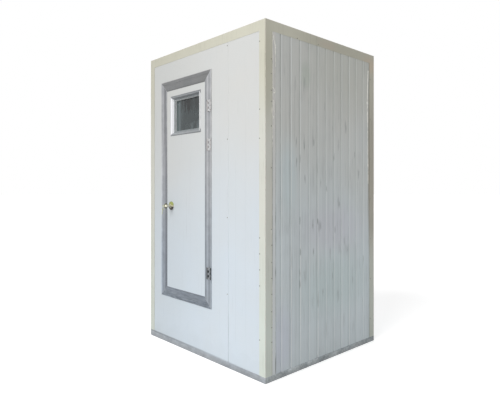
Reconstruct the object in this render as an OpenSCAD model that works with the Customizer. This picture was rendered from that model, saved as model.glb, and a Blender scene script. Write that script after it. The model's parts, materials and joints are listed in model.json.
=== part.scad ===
// Shower toilet cabin: sandwich-panel walls in folded metal trims, a raised floor and
// one outward-opening door with a small window.
// Frame: +Z up, origin on the ground at the middle of the plan, door wall facing -Y.

/* [Cabin] */
// Width of the door wall, over the corner trims
cabin_w = 1450; // [1400:10:1800]
// Depth from the door wall to the back wall, over the corner trims
cabin_d = 1320; // [1050:10:1700]
// Height over the roof trims
cabin_h = 2450; // [2400:10:2950]
// Thickness of a wall panel
wall_t = 50; // [40:1:60]
// Thickness of a roof panel
roof_t = 50; // [40:1:80]
// Sheet thickness of the trims and of the base rails
sheet_t = 1.5; // [1:0.1:2.5]
// Height of the base rails
rail_h = 41; // [30:1:60]

/* [Trims] */
// Corner trim leg on the door wall and on the back wall
trim_leg_front = 60; // [40:1:90]
// Corner trim leg on the side walls
trim_leg_side = 67; // [55:1:90]
// Height of a roof trim down the wall
trim_drop = 72; // [55:1:100]
// Width of a roof trim across the roof
trim_roof_leg = 60; // [40:1:90]

/* [Panels] */
// Distance from the left end of the door wall to its panel joint
front_joint = 1066; // [1000:1:1200]
// Distance from a corner to the narrow strip's joint on a side wall
side_joint = 100; // [80:1:200]
// Spacing of the pressed lines in the sheet
line_pitch = 100; // [60:1:200]
// Width of a pressed line
line_w = 14; // [6:1:20]
// Depth of a pressed line on the side, back and roof panels
line_depth = 3; // [0.4:0.1:4]
// Depth of a pressed line on the door wall
front_line_depth = 0.3; // [0.2:0.1:3]
// Length of the tongue at a panel joint
tongue_l = 15; // [8:1:20]
// Thickness of the tongue at a panel joint
tongue_t = 14; // [8:1:18]

/* [Doorway] */
// Distance from the left end of the door wall to the door frame
door_left = 178; // [120:1:260]
// Height of the door frame's lower edge above the ground
door_z = 392; // [300:1:450]
// Width over the door frame
door_w = 692; // [640:1:840]
// Height over the door frame
door_h = 1825; // [1500:5:1850]
// Visible width of the fixed door frame
frame_face = 24; // [18:1:26]
// How far the door frame and the leaf edging stand proud of the wall
frame_proud = 5; // [3:0.5:8]
// Metal thickness of the door frame and of the leaf edging
frame_t = 2; // [1.5:0.1:2.5]
// Gap between the leaf and the frame at the hinges, the top and the bottom
leaf_gap = 5; // [5:0.5:7]
// Gap between the leaf and the frame on the latch side
latch_gap = 7.5; // [7.5:0.5:9]
// How far the stop reaches into the doorway
stop_w = 18; // [12:1:25]

/* [Leaf] */
// Thickness of the leaf panel
leaf_t = 40; // [32:1:50]
// Width of the metal edging on the outer face of the leaf
edging_w = 53; // [50:1:80]
// Width of the flat part of that edging
edging_flat = 29; // [26:1:34]
// Width of the edging on the inner face of the leaf
edging_inner_w = 30; // [20:1:50]
// Window width over its outer flange
window_w = 420; // [300:5:440]
// Window height over its outer flange
window_h = 333; // [200:5:450]
// Distance from the inside of the leaf's top edging down to the window flange
window_drop = 51; // [30:1:120]
// Width of the window's outer flange
window_flange = 18; // [12:1:30]
// How far the window's reveal slopes in behind its flange
window_splay = 10; // [4:1:16]
// Visible width of the ring that holds the glass
glass_ring = 10; // [6:1:20]
// Depth of the ring in front of the glass
ring_depth = 19.5; // [12:0.5:24]
// Glass thickness
glass_t = 4; // [3:1:6]

/* [Hinges] */
// Height of one hinge
hinge_h = 90; // [60:5:120]
// Width of one hinge plate
hinge_plate_w = 20; // [18:1:25]
// Thickness of a hinge plate
hinge_plate_t = 2.5; // [2:0.1:3]
// Radius of a hinge knuckle
knuckle_r = 6; // [5:0.1:7.5]
// Radius of a hinge pin
pin_r = 3; // [2:0.5:3.5]
// Height of the lowest hinge's centre above the lower edge of the door frame
hinge_low = 267; // [150:1:400]
// Distance from the top of the door frame down to the highest hinge's centre
hinge_high = 275; // [150:1:400]
// Distance between the two upper hinges' centres
hinge_pair = 299; // [200:1:600]

/* [Lock] */
// Distance from the leaf's latch edge to the knob
knob_backset = 115; // [90:1:150]
// Height of the knob above the lower edge of the door frame
knob_rise = 771; // [600:1:1000]
// Diameter of a rosette
rosette_d = 72; // [60:1:80]
// Largest diameter of a knob
knob_d = 45; // [38:1:54]
// Thickness of a knob, along its axis
knob_depth = 30; // [24:1:36]
// Distance from the wall face to the middle of the outer knob
knob_reach = 55; // [48:1:70]

/* [Floor] */
// Thickness of the floor deck
deck_t = 21; // [15:1:30]
// Height of the floor beams
beam_h = 60; // [40:5:100]
// Flange width of the floor beams
beam_w = 30; // [25:1:40]
// Metal thickness of the floor beams and legs
beam_t = 3; // [2:0.5:5]
// Size of a floor leg
leg_w = 45; // [40:1:60]

/* [Hidden] */

cream = "#d6d6c4";
white = "#d8dade";
zinc = "#a4aab0";
aluminium = "#9ea3a8";
brass = "#b5a268";

// Outer faces of the wall panels and inner faces of the room, as distances from the middle
wall_x = cabin_w / 2 - sheet_t;
wall_y = cabin_d / 2 - sheet_t;
room_x = wall_x - wall_t;
room_y = wall_y - wall_t;
wall_top = cabin_h - sheet_t - roof_t;
wall_bottom = sheet_t;

// Door frame: outer edges, and the cut in the wall that its webs line
frame_x0 = -cabin_w / 2 + door_left;
frame_x1 = frame_x0 + door_w;
frame_z1 = door_z + door_h;
frame_lap = frame_face - frame_t;
cut_x0 = frame_x0 + frame_lap;
cut_x1 = frame_x1 - frame_lap;
cut_z0 = door_z + frame_lap;
cut_z1 = frame_z1 - frame_lap;
joint_x = -cabin_w / 2 + front_joint;

// Depths are measured from the wall's outer face into the cabin
leaf_clear = 5;
stop_depth = leaf_t + frame_t + leaf_clear;
frame_back = max(wall_t, stop_depth + frame_t) + frame_t;

// Leaf
leaf_x0 = frame_x0 + frame_face + latch_gap;
leaf_x1 = frame_x1 - frame_face - leaf_gap;
leaf_z0 = door_z + frame_face + leaf_gap;
leaf_z1 = frame_z1 - frame_face - leaf_gap;
leaf_w = leaf_x1 - leaf_x0;
leaf_h = leaf_z1 - leaf_z0;
lip_proud = 1;

// Window: outer edges of its flange, and the hole in the leaf panel
window_x0 = (leaf_x0 + leaf_x1 - window_w) / 2;
window_z1 = leaf_z1 - edging_w - window_drop;
window_z0 = window_z1 - window_h;
window_t = 2;
window_proud = 4;
window_lap = window_flange - window_t;
glass_front = leaf_t - glass_t;
bead_t = 3;
glass_slack = 3;

// Hinges
axis_x = leaf_x1 + leaf_gap / 2;
knuckle_air = 1;
axis_proud = frame_proud + knuckle_r + knuckle_air;
axis_y = -wall_y - axis_proud;
pin_play = 0.05;
knuckle_count = 5;
knuckle_gap = 0.4;
knuckle_step = hinge_h / knuckle_count;
plate_air = 0.8;
hinge_z = [door_z + hinge_low, frame_z1 - hinge_high - hinge_pair, frame_z1 - hinge_high];

// Lock
knob_x = leaf_x0 + knob_backset;
knob_z = door_z + knob_rise;
strike_w = 12;
strike_h = 22;
lock_r = 25;
lock_air = 0.5;
rosette_t = 9;
spindle_r = 8;
spindle_play = 0.05;
neck_r = 9;
neck_air = 1;

// Floor
floor_top = door_z - 2;
frame_top = floor_top - deck_t;
foot_w = leg_w + 1;
foot_t = 5;
leg_inset = foot_w / 2 + 2;

$fn = 48;

// ---------------------------------------------------------------- panels

// One pressed line: a trapezoid in the outer sheet, centred on x, half of it flat
function pressed_line(x, depth) = [
    [x - line_w / 2, 0], [x - line_w / 4, depth], [x + line_w / 4, depth], [x + line_w / 2, 0]];

// Outline of a panel seen from above: outer sheet along v = 0, inner sheet along v = t.
// lines are the pressed lines' places; a joint end has a chamfered outer edge, and
// "tongue" or "groove" says which half of the joint it carries.
function panel_outline(len, t, lines, depth, left = "plain", right = "plain") =
    let (mid = t / 2,
         bevel = 1.5,
         slack = 0.5,
         start = left == "plain" ? [[0, 0]] : [[0, bevel], [bevel, 0]],
         end = right == "plain" ? [[len, 0]] : [[len - bevel, 0], [len, bevel]],
         tongue = right != "tongue" ? [] : [
             [len, mid - tongue_t / 2], [len + tongue_l, mid - tongue_t / 2 + 2],
             [len + tongue_l, mid + tongue_t / 2 - 2], [len, mid + tongue_t / 2]],
         groove = left != "groove" ? [] : [
             [0, mid + tongue_t / 2 + slack], [tongue_l + slack, mid + tongue_t / 2 - 2 + slack],
             [tongue_l + slack, mid - tongue_t / 2 + 2 - slack], [0, mid - tongue_t / 2 - slack]])
    concat(start, [for (x = lines) each pressed_line(x, depth)], end, tongue,
           [[len, t], [0, t]], groove);

// Places of the pressed lines between a and b, counted from a joint at zero
function lines_between(a, b, phase) =
    let (first = ceil((a + line_w - phase) / line_pitch),
         last = floor((b - line_w - phase) / line_pitch))
    [for (k = [first:1:last]) phase + k * line_pitch - a];

module panel(len, t, h, lines, depth, left = "plain", right = "plain") {
    linear_extrude(h) polygon(panel_outline(len, t, lines, depth, left, right));
}

// A piece of the door wall between x0 and x1, z0 and z1
module front_piece(x0, x1, z0, z1, left = "plain", right = "plain") {
    color(white) translate([x0, -wall_y, z0])
        panel(x1 - x0, wall_t, z1 - z0,
              lines_between(x0 - joint_x, x1 - joint_x, 0), front_line_depth, left, right);
}

module front_panel_latch_side() { front_piece(-wall_x, cut_x0, wall_bottom, wall_top); }
module front_panel_over_door() { front_piece(cut_x0, cut_x1, cut_z1, wall_top); }
module front_panel_under_door() { front_piece(cut_x0, cut_x1, wall_bottom, cut_z0); }
module front_panel_hinge_side() {
    front_piece(cut_x1, joint_x, wall_bottom, wall_top, right = "tongue");
}
module front_panel_end() {
    front_piece(joint_x, wall_x, wall_bottom, wall_top, left = "groove");
}

// The back wall has the same joint, seen from the other side
module back_piece(x0, x1, left, right) {
    color(white) mirror([0, 1, 0]) translate([x0, -wall_y, wall_bottom])
        panel(x1 - x0, wall_t, wall_top - wall_bottom,
              lines_between(x0 - joint_x, x1 - joint_x, line_pitch / 2), line_depth,
              left, right);
}
module back_panel_wide() { back_piece(-wall_x, joint_x, "plain", "tongue"); }
module back_panel_narrow() { back_piece(joint_x, wall_x, "groove", "plain"); }

// A side wall stands between the front and back walls; a and b are distances from
// the front corner
module side_piece(a, b, left, right) {
    color(white) translate([wall_x, a - cabin_d / 2, wall_bottom]) rotate([0, 0, 90])
        panel(b - a, wall_t, wall_top - wall_bottom,
              lines_between(a - side_joint, b - side_joint, line_pitch / 2), line_depth,
              left, right);
}
side_start = cabin_d / 2 - room_y;
side_end = cabin_d / 2 + room_y;
module right_wall_strip() { side_piece(side_start, side_joint, "plain", "tongue"); }
module right_wall_panel() { side_piece(side_joint, side_end, "groove", "plain"); }
module left_wall_strip() { mirror([1, 0, 0]) right_wall_strip(); }
module left_wall_panel() { mirror([1, 0, 0]) right_wall_panel(); }

// Roof panels lie on the walls with their pressed lines running front to back
module roof_piece(x0, x1, left, right) {
    color(white) translate([x0, wall_y, cabin_h - sheet_t]) rotate([90, 0, 0])
        mirror([0, 1, 0])
            panel(x1 - x0, roof_t, 2 * wall_y,
                  lines_between(x0 - joint_x, x1 - joint_x, line_pitch / 2), line_depth,
                  left, right);
}
module roof_panel_wide() { roof_piece(-wall_x, joint_x, "plain", "tongue"); }
module roof_panel_narrow() { roof_piece(joint_x, wall_x, "groove", "plain"); }

// ---------------------------------------------------------------- floor

// A channel beam l long along X, its web along y = 0 and its flanges towards +Y
module beam(l) {
    rotate([90, 0, 90]) linear_extrude(l)
        polygon([[0, 0], [beam_w, 0], [beam_w, beam_t], [beam_t, beam_t],
                 [beam_t, beam_h - beam_t], [beam_w, beam_h - beam_t], [beam_w, beam_h],
                 [0, beam_h]]);
}

// An angle leg on a foot plate, under the beam at x, y
module floor_leg(x, y) {
    translate([x - foot_w / 2, y - foot_w / 2, 0]) cube([foot_w, foot_w, foot_t]);
    translate([x - leg_w / 2, y - leg_w / 2, 0]) linear_extrude(frame_top - beam_h + beam_t)
        polygon([[0, 0], [leg_w, 0], [leg_w, beam_t], [beam_t, beam_t], [beam_t, leg_w],
                 [0, leg_w]]);
}

// Welded frame that carries the deck: edge beams round the room, joists and nine legs
module floor_frame() {
    beam_z = frame_top - beam_h;
    leg_x = room_x - leg_inset;
    leg_y = room_y - leg_inset;
    color(zinc) union() {
        for (side = [0, 1]) mirror([0, side, 0])
            translate([-room_x, -room_y, beam_z]) beam(2 * room_x);
        for (side = [0, 1]) mirror([side, 0, 0])
            translate([room_x, beam_t - room_y, beam_z]) rotate([0, 0, 90])
                beam(2 * (room_y - beam_t));
        for (x = [-room_x / 2, 0, room_x / 2])
            translate([x + beam_t / 2, beam_t - room_y, beam_z]) rotate([0, 0, 90])
                beam(2 * (room_y - beam_t));
        for (x = [-leg_x, 0, leg_x], y = [-leg_y, 0, leg_y]) floor_leg(x, y);
    }
}

module floor_deck() {
    color("#8f9296") translate([-room_x, -room_y, frame_top])
        cube([2 * room_x, 2 * room_y, deck_t]);
}

// ---------------------------------------------------------------- rails and trims

rail_w = wall_t + 2 * sheet_t;

// A channel that the wall stands in, w long, mitred at both ends
module base_rail(w) {
    outline = [[0, 0], [rail_w, 0], [rail_w, rail_h], [rail_w - sheet_t, rail_h],
               [rail_w - sheet_t, sheet_t], [sheet_t, sheet_t], [sheet_t, rail_h], [0, rail_h]];
    color(zinc) intersection() {
        translate([-w / 2, 0, 0]) rotate([90, 0, 90]) linear_extrude(w) polygon(outline);
        linear_extrude(rail_h)
            polygon([[-w / 2, 0], [w / 2, 0], [w / 2 - rail_w, rail_w], [rail_w - w / 2, rail_w]]);
    }
}
module front_base_rail() { translate([0, -cabin_d / 2, 0]) base_rail(cabin_w); }
module back_base_rail() { mirror([0, 1, 0]) front_base_rail(); }
module right_base_rail() {
    translate([cabin_w / 2, 0, 0]) rotate([0, 0, 90]) base_rail(cabin_d);
}
module left_base_rail() { mirror([1, 0, 0]) right_base_rail(); }

// A folded angle up the corner, from the base rail to the roof
module corner_trim() {
    color(cream) translate([cabin_w / 2, -cabin_d / 2, rail_h])
        linear_extrude(cabin_h - sheet_t - rail_h)
            polygon([[0, 0], [0, trim_leg_side], [-sheet_t, trim_leg_side],
                     [-sheet_t, sheet_t], [-trim_leg_front, sheet_t], [-trim_leg_front, 0]]);
}
module corner_trim_front_right() { corner_trim(); }
module corner_trim_front_left() { mirror([1, 0, 0]) corner_trim(); }
module corner_trim_back_right() { mirror([0, 1, 0]) corner_trim(); }
module corner_trim_back_left() { mirror([1, 0, 0]) mirror([0, 1, 0]) corner_trim(); }

// A folded angle along the roof edge: its top leg is mitred, its drop fits between
// the corner trims
module roof_trim(w, corner_leg) {
    color(cream) union() {
        translate([0, 0, cabin_h - sheet_t]) linear_extrude(sheet_t)
            polygon([[-w / 2, 0], [w / 2, 0], [w / 2 - trim_roof_leg, trim_roof_leg],
                     [trim_roof_leg - w / 2, trim_roof_leg]]);
        translate([corner_leg - w / 2, 0, cabin_h - trim_drop])
            cube([w - 2 * corner_leg, sheet_t, trim_drop]);
    }
}
module front_roof_trim() { translate([0, -cabin_d / 2, 0]) roof_trim(cabin_w, trim_leg_front); }
module back_roof_trim() { mirror([0, 1, 0]) front_roof_trim(); }
module right_roof_trim() {
    translate([cabin_w / 2, 0, 0]) rotate([0, 0, 90]) roof_trim(cabin_d, trim_leg_side);
}
module left_roof_trim() { mirror([1, 0, 0]) right_roof_trim(); }

// ---------------------------------------------------------------- mitred frames

// Members of a w by h frame in the XZ plane. The outline is [distance in from the outer
// edge, depth into the cabin]; reach is the widest of those distances.
module upright(outline, w, h, reach) {
    front = min([for (p = outline) p[1]]) - 1;
    back = max([for (p = outline) p[1]]) + 1;
    intersection() {
        linear_extrude(h) polygon(outline);
        translate([0, back, 0]) rotate([90, 0, 0]) linear_extrude(back - front)
            polygon([[0, 0], [reach, reach], [reach, h - reach], [0, h]]);
    }
}
module crossbar(outline, w, h, reach) {
    front = min([for (p = outline) p[1]]) - 1;
    back = max([for (p = outline) p[1]]) + 1;
    intersection() {
        rotate([90, 0, 90]) linear_extrude(w) polygon([for (p = outline) [p[1], p[0]]]);
        translate([0, back, 0]) rotate([90, 0, 0]) linear_extrude(back - front)
            polygon([[0, 0], [w, 0], [w - reach, reach], [reach, reach]]);
    }
}
module frame_left(outline, w, h, reach) { upright(outline, w, h, reach); }
module frame_right(outline, w, h, reach) {
    translate([w, 0, 0]) mirror([1, 0, 0]) upright(outline, w, h, reach);
}
module frame_bottom(outline, w, h, reach) { crossbar(outline, w, h, reach); }
module frame_top(outline, w, h, reach) {
    translate([0, 0, h]) mirror([0, 0, 1]) crossbar(outline, w, h, reach);
}
module frame_ring(outline, w, h, reach) {
    union() {
        frame_left(outline, w, h, reach);
        frame_right(outline, w, h, reach);
        frame_bottom(outline, w, h, reach);
        frame_top(outline, w, h, reach);
    }
}

// ---------------------------------------------------------------- door frame

// A folded profile that wraps the cut edge of the wall: outer flange with a return,
// web through the wall, stop behind the leaf, flange on the inner face
door_profile = [
    [0, 0], [0, -frame_proud], [frame_face, -frame_proud], [frame_face, stop_depth],
    [frame_face + stop_w, stop_depth], [frame_face + stop_w, frame_back], [0, frame_back],
    [0, frame_back - frame_t], [frame_lap, frame_back - frame_t],
    [frame_lap, frame_t - frame_proud], [frame_t, frame_t - frame_proud], [frame_t, 0]];
door_reach = frame_face + stop_w;
module at_door_frame() { color(aluminium) translate([frame_x0, -wall_y, door_z]) children(); }
// The latch jamb is punched for the bolt, behind the leaf's edge
module door_frame_latch_jamb() {
    difference() {
        at_door_frame() frame_left(door_profile, door_w, door_h, door_reach);
        translate([frame_x0 + frame_lap - 1, -wall_y + (leaf_t - strike_w) / 2,
                   knob_z - strike_h / 2])
            cube([frame_t + 2, strike_w, strike_h]);
    }
}
module door_frame_hinge_jamb() {
    at_door_frame() frame_right(door_profile, door_w, door_h, door_reach);
}
module door_frame_sill() { at_door_frame() frame_bottom(door_profile, door_w, door_h, door_reach); }
module door_frame_head() { at_door_frame() frame_top(door_profile, door_w, door_h, door_reach); }

// ---------------------------------------------------------------- leaf

module leaf_panel() {
    color(white) difference() {
        translate([leaf_x0 + frame_t, -wall_y, leaf_z0 + frame_t])
            cube([leaf_w - 2 * frame_t, leaf_t, leaf_h - 2 * frame_t]);
        translate([window_x0 + window_lap, -wall_y - 1, window_z0 + window_lap])
            cube([window_w - 2 * window_lap, leaf_t + 2, window_h - 2 * window_lap]);
        translate([knob_x, -wall_y - 1, knob_z]) rotate([-90, 0, 0])
            cylinder(r = lock_r + lock_air, h = leaf_t + 2);
    }
}

// Metal edging folded round the leaf panel: flat, then sloping down to the panel
edging_profile = [
    [0, -frame_proud], [edging_flat, -frame_proud], [edging_w, -lip_proud], [edging_w, 0],
    [edging_w - frame_t, 0], [edging_flat, frame_t - frame_proud], [frame_t, frame_t - frame_proud],
    [frame_t, leaf_t], [edging_inner_w, leaf_t], [edging_inner_w, leaf_t + frame_t],
    [0, leaf_t + frame_t]];
module at_leaf() { color(aluminium) translate([leaf_x0, -wall_y, leaf_z0]) children(); }
module leaf_edging_latch() { at_leaf() frame_left(edging_profile, leaf_w, leaf_h, edging_w); }
module leaf_edging_hinge() { at_leaf() frame_right(edging_profile, leaf_w, leaf_h, edging_w); }
module leaf_edging_bottom() { at_leaf() frame_bottom(edging_profile, leaf_w, leaf_h, edging_w); }
module leaf_edging_top() { at_leaf() frame_top(edging_profile, leaf_w, leaf_h, edging_w); }

// Window frame, one sheet folded: bevelled flange, sloping reveal, ring up to the glass.
// The reveal starts at reveal_y and meets the ring's face at ring_y.
reveal_y = window_t - window_proud;
ring_y = glass_front - ring_depth;
splay_rate = window_splay / (ring_y - reveal_y);
splay_back = window_flange - window_t * norm([1, splay_rate]) - reveal_y * splay_rate;
window_reach = window_flange + window_splay + glass_ring;
window_profile = [
    [0, 0], [3, -window_proud], [window_lap, -window_proud], [window_flange, reveal_y],
    [window_flange + window_splay, ring_y], [window_reach, ring_y],
    [window_reach, glass_front], [window_reach - window_t, glass_front],
    [window_reach - window_t, ring_y + window_t],
    [splay_back + (ring_y + window_t) * splay_rate, ring_y + window_t], [splay_back, 0]];
module at_window() { translate([window_x0, -wall_y, window_z0]) children(); }
module window_frame() {
    color(aluminium) at_window() frame_ring(window_profile, window_w, window_h, window_reach);
}

// Bead that clamps the glass from inside the cabin
bead_profile = [
    [0, leaf_t], [window_reach, leaf_t], [window_reach, leaf_t + 1],
    [window_reach - 3, leaf_t + bead_t], [3, leaf_t + bead_t]];
module window_bead() {
    color(aluminium) at_window() frame_ring(bead_profile, window_w, window_h, window_reach);
}

module window_glass() {
    edge = window_lap + glass_slack;
    color("#586460") at_window() translate([edge, glass_front, edge])
        cube([window_w - 2 * edge, glass_t, window_h - 2 * edge]);
}

// ---------------------------------------------------------------- hinges

// Knuckles k of one hinge, with the plate on the +X side and webs to join them
module hinge_half(kept) {
    plate_x = knuckle_r + plate_air;
    back = axis_proud - frame_proud;
    difference() {
        union() {
            translate([plate_x, back - hinge_plate_t, 0])
                cube([hinge_plate_w, hinge_plate_t, hinge_h]);
            for (k = kept) translate([0, 0, k * knuckle_step + knuckle_gap / 2]) {
                cylinder(r = knuckle_r, h = knuckle_step - knuckle_gap);
                translate([0, back - hinge_plate_t, 0])
                    cube([plate_x + 1, hinge_plate_t, knuckle_step - knuckle_gap]);
            }
        }
        translate([0, 0, -1]) cylinder(r = pin_r + pin_play, h = hinge_h + 2);
    }
}
module each_hinge() {
    for (z = hinge_z) translate([axis_x, axis_y, z - hinge_h / 2]) children();
}
module hinge_frame_plates() { color(zinc) each_hinge() hinge_half([0, 2, 4]); }
module hinge_leaf_plates() { color(zinc) each_hinge() mirror([1, 0, 0]) hinge_half([1, 3]); }

// Pins with a domed head that rests on the top knuckle
module hinge_pins() {
    head_r = pin_r + 1.5;
    color(zinc) each_hinge() {
        rotate_extrude() polygon([
            [0, -1], [pin_r - 0.5, -1], [pin_r, -0.5], [pin_r, hinge_h], [head_r, hinge_h],
            [head_r, hinge_h + 1], [head_r - 1.5, hinge_h + 2.5], [0, hinge_h + 2.5]]);
    }
}

// ---------------------------------------------------------------- lock and keys

module at_knob() { translate([knob_x, -wall_y, knob_z]) rotate([90, 0, 0]) children(); }

// Both rosettes and the case between them, turned about the knob's axis.
// Heights are distances out from the wall face.
module lock_case() {
    rosette_r = rosette_d / 2;
    inner = -leaf_t;
    color(brass) at_knob() rotate_extrude() polygon([
        [spindle_r + spindle_play, inner - rosette_t], [neck_r + 6, inner - rosette_t],
        [rosette_r - 8, inner - rosette_t + 2], [rosette_r - 1, inner - 4], [rosette_r, inner - 2],
        [rosette_r, inner], [lock_r, inner], [lock_r, 0], [rosette_r, 0], [rosette_r, 2],
        [rosette_r - 1, 4], [rosette_r - 8, rosette_t - 2], [neck_r + 6, rosette_t],
        [spindle_r + spindle_play, rosette_t]]);
}

// Half outline of one knob, from its neck to the middle of its end, where the key goes in
key_face_r = 8;
knob_tip = knob_reach + knob_depth / 2;
knob_turn = [-acos(neck_r / (knob_d / 2)), acos(key_face_r / (knob_d / 2))];
knob_steps = 12;
knob_outline = concat(
    [[spindle_r, rosette_t + neck_air], [neck_r, rosette_t + neck_air]],
    [for (i = [0:knob_steps])
        let (a = knob_turn[0] + (knob_turn[1] - knob_turn[0]) * i / knob_steps)
        [knob_d / 2 * cos(a), knob_reach + knob_depth / 2 * sin(a)]],
    [[key_face_r, knob_tip], [0, knob_tip]]);

// Outer knob, inner knob and the spindle between them, turned in one piece
module knobs() {
    last = len(knob_outline) - 1;
    inner = [for (i = [last:-1:0]) [knob_outline[i][0], -leaf_t - knob_outline[i][1]]];
    color(brass) at_knob() rotate_extrude() polygon(concat(inner, knob_outline));
}

// A flat key in the YZ plane, its bow at the origin and its blade pointing down
key_t = 2;
key_w = 7;
key_blade_l = 33;
key_hole_r = 3;
ring_wire_r = 0.7;
ring_r = 9;
ring_rest = key_hole_r - ring_wire_r - 0.3;
module key_blank(bow_r, hole_y, blade_l, blade_w) {
    translate([-key_t / 2, 0, 0]) rotate([90, 0, 90]) linear_extrude(key_t) difference() {
        union() {
            circle(r = bow_r);
            translate([-blade_w / 2, -bow_r - blade_l]) square([blade_w, bow_r + blade_l]);
        }
        translate([0, hole_y]) circle(r = key_hole_r);
    }
}

// A key in the outer knob, a ring through its bow, and a second key hanging from the ring
module keys() {
    bow_r = 8;
    neck_l = 2.7;
    hole_out = 2;
    bow_out = bow_r + neck_l;
    second_bow_r = 10;
    second_tilt = 12;
    second_hole = 5;
    color(brass) translate([knob_x, -wall_y - knob_tip, knob_z]) {
        translate([0, -bow_out, 0]) rotate([90, 0, 0])
            key_blank(bow_r, hole_out, neck_l, key_w);
        translate([0, -bow_out - hole_out, -ring_rest - ring_r]) {
            rotate([90, 0, 0]) rotate_extrude() translate([ring_r, 0]) circle(r = ring_wire_r);
            translate([0, 0, -ring_r - ring_rest]) rotate([-second_tilt, 0, 0])
                translate([0, 0, -second_hole])
                    key_blank(second_bow_r, second_hole, key_blade_l, key_w);
        }
    }
}

front_base_rail();
back_base_rail();
left_base_rail();
right_base_rail();
floor_frame();
floor_deck();
front_panel_latch_side();
front_panel_hinge_side();
front_panel_over_door();
front_panel_under_door();
front_panel_end();
back_panel_wide();
back_panel_narrow();
left_wall_strip();
left_wall_panel();
right_wall_strip();
right_wall_panel();
roof_panel_wide();
roof_panel_narrow();
corner_trim_front_left();
corner_trim_front_right();
corner_trim_back_left();
corner_trim_back_right();
front_roof_trim();
back_roof_trim();
left_roof_trim();
right_roof_trim();
door_frame_head();
door_frame_sill();
door_frame_latch_jamb();
door_frame_hinge_jamb();
hinge_frame_plates();
hinge_pins();
leaf_panel();
leaf_edging_top();
leaf_edging_bottom();
leaf_edging_latch();
leaf_edging_hinge();
hinge_leaf_plates();
window_frame();
window_bead();
window_glass();
lock_case();
knobs();
keys();
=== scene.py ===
"""Looks of the shower toilet cabin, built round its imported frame.

Each sub-assembly is a class that dresses its carried-over nodes and models the small
pieces that go on them: rivets, screws, sealant, seals and lock furniture. All lengths
are in metres, with the door wall facing -Y.
"""

from __future__ import annotations

import json
import logging
import math
import random
from dataclasses import dataclass
from enum import Enum
from typing import Callable, Sequence, Union

import bmesh
import bpy
from mathutils import Matrix, Vector

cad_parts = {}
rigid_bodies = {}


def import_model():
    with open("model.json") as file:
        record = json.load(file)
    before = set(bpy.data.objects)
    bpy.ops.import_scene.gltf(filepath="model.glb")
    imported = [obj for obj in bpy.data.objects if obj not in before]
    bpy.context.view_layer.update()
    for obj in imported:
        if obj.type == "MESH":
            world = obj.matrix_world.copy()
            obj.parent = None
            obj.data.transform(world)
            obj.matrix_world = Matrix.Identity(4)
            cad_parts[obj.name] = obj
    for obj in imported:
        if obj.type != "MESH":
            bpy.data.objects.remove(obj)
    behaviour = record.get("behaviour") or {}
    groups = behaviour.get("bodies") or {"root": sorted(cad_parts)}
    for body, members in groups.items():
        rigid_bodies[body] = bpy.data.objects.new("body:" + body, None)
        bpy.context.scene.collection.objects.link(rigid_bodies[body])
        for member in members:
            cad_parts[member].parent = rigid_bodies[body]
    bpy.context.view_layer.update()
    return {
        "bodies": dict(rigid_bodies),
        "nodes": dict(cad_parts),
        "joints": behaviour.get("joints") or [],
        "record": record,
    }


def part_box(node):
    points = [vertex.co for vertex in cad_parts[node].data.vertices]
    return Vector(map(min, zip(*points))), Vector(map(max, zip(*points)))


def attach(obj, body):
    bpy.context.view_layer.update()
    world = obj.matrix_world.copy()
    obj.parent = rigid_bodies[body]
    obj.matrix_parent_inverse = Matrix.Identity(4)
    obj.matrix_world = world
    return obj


log = logging.getLogger("cabin")

Colour = tuple[float, float, float, float]
Point = tuple[float, float, float]
Piece = bpy.types.Object
Nodes = dict[str, Piece]
Tree = bpy.types.NodeTree
Socket = bpy.types.NodeSocket
Feed = Union[Socket, float, Colour, Point]
Pick = Callable[[Vector, Vector], bool]

MM = 0.001


def srgb(red: float, green: float, blue: float) -> Colour:
    """Turns a screen colour into the linear colour that a shader takes.

    Args:
        red: Red from 0 to 255.
        green: Green from 0 to 255.
        blue: Blue from 0 to 255.

    Returns:
        The linear colour with full alpha.
    """

    def linear(value: float) -> float:
        """Turns one channel linear."""
        share = value / 255
        return share / 12.92 if share <= 0.04045 else ((share + 0.055) / 1.055) ** 2.4

    return (linear(red), linear(green), linear(blue), 1.0)


def shade(colour: Colour, level: float) -> Colour:
    """Multiplies a colour by a level and keeps its alpha."""
    return (colour[0] * level, colour[1] * level, colour[2] * level, colour[3])


def grey(level: float) -> Colour:
    """Gives the neutral linear colour of a level."""
    return (level, level, level, 1.0)


class Axis(Enum):
    """The axes of the row frame, valued as an index into a vector."""

    X = 0
    Y = 1
    Z = 2


# ---------------------------------------------------------------- shader graphs


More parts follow.
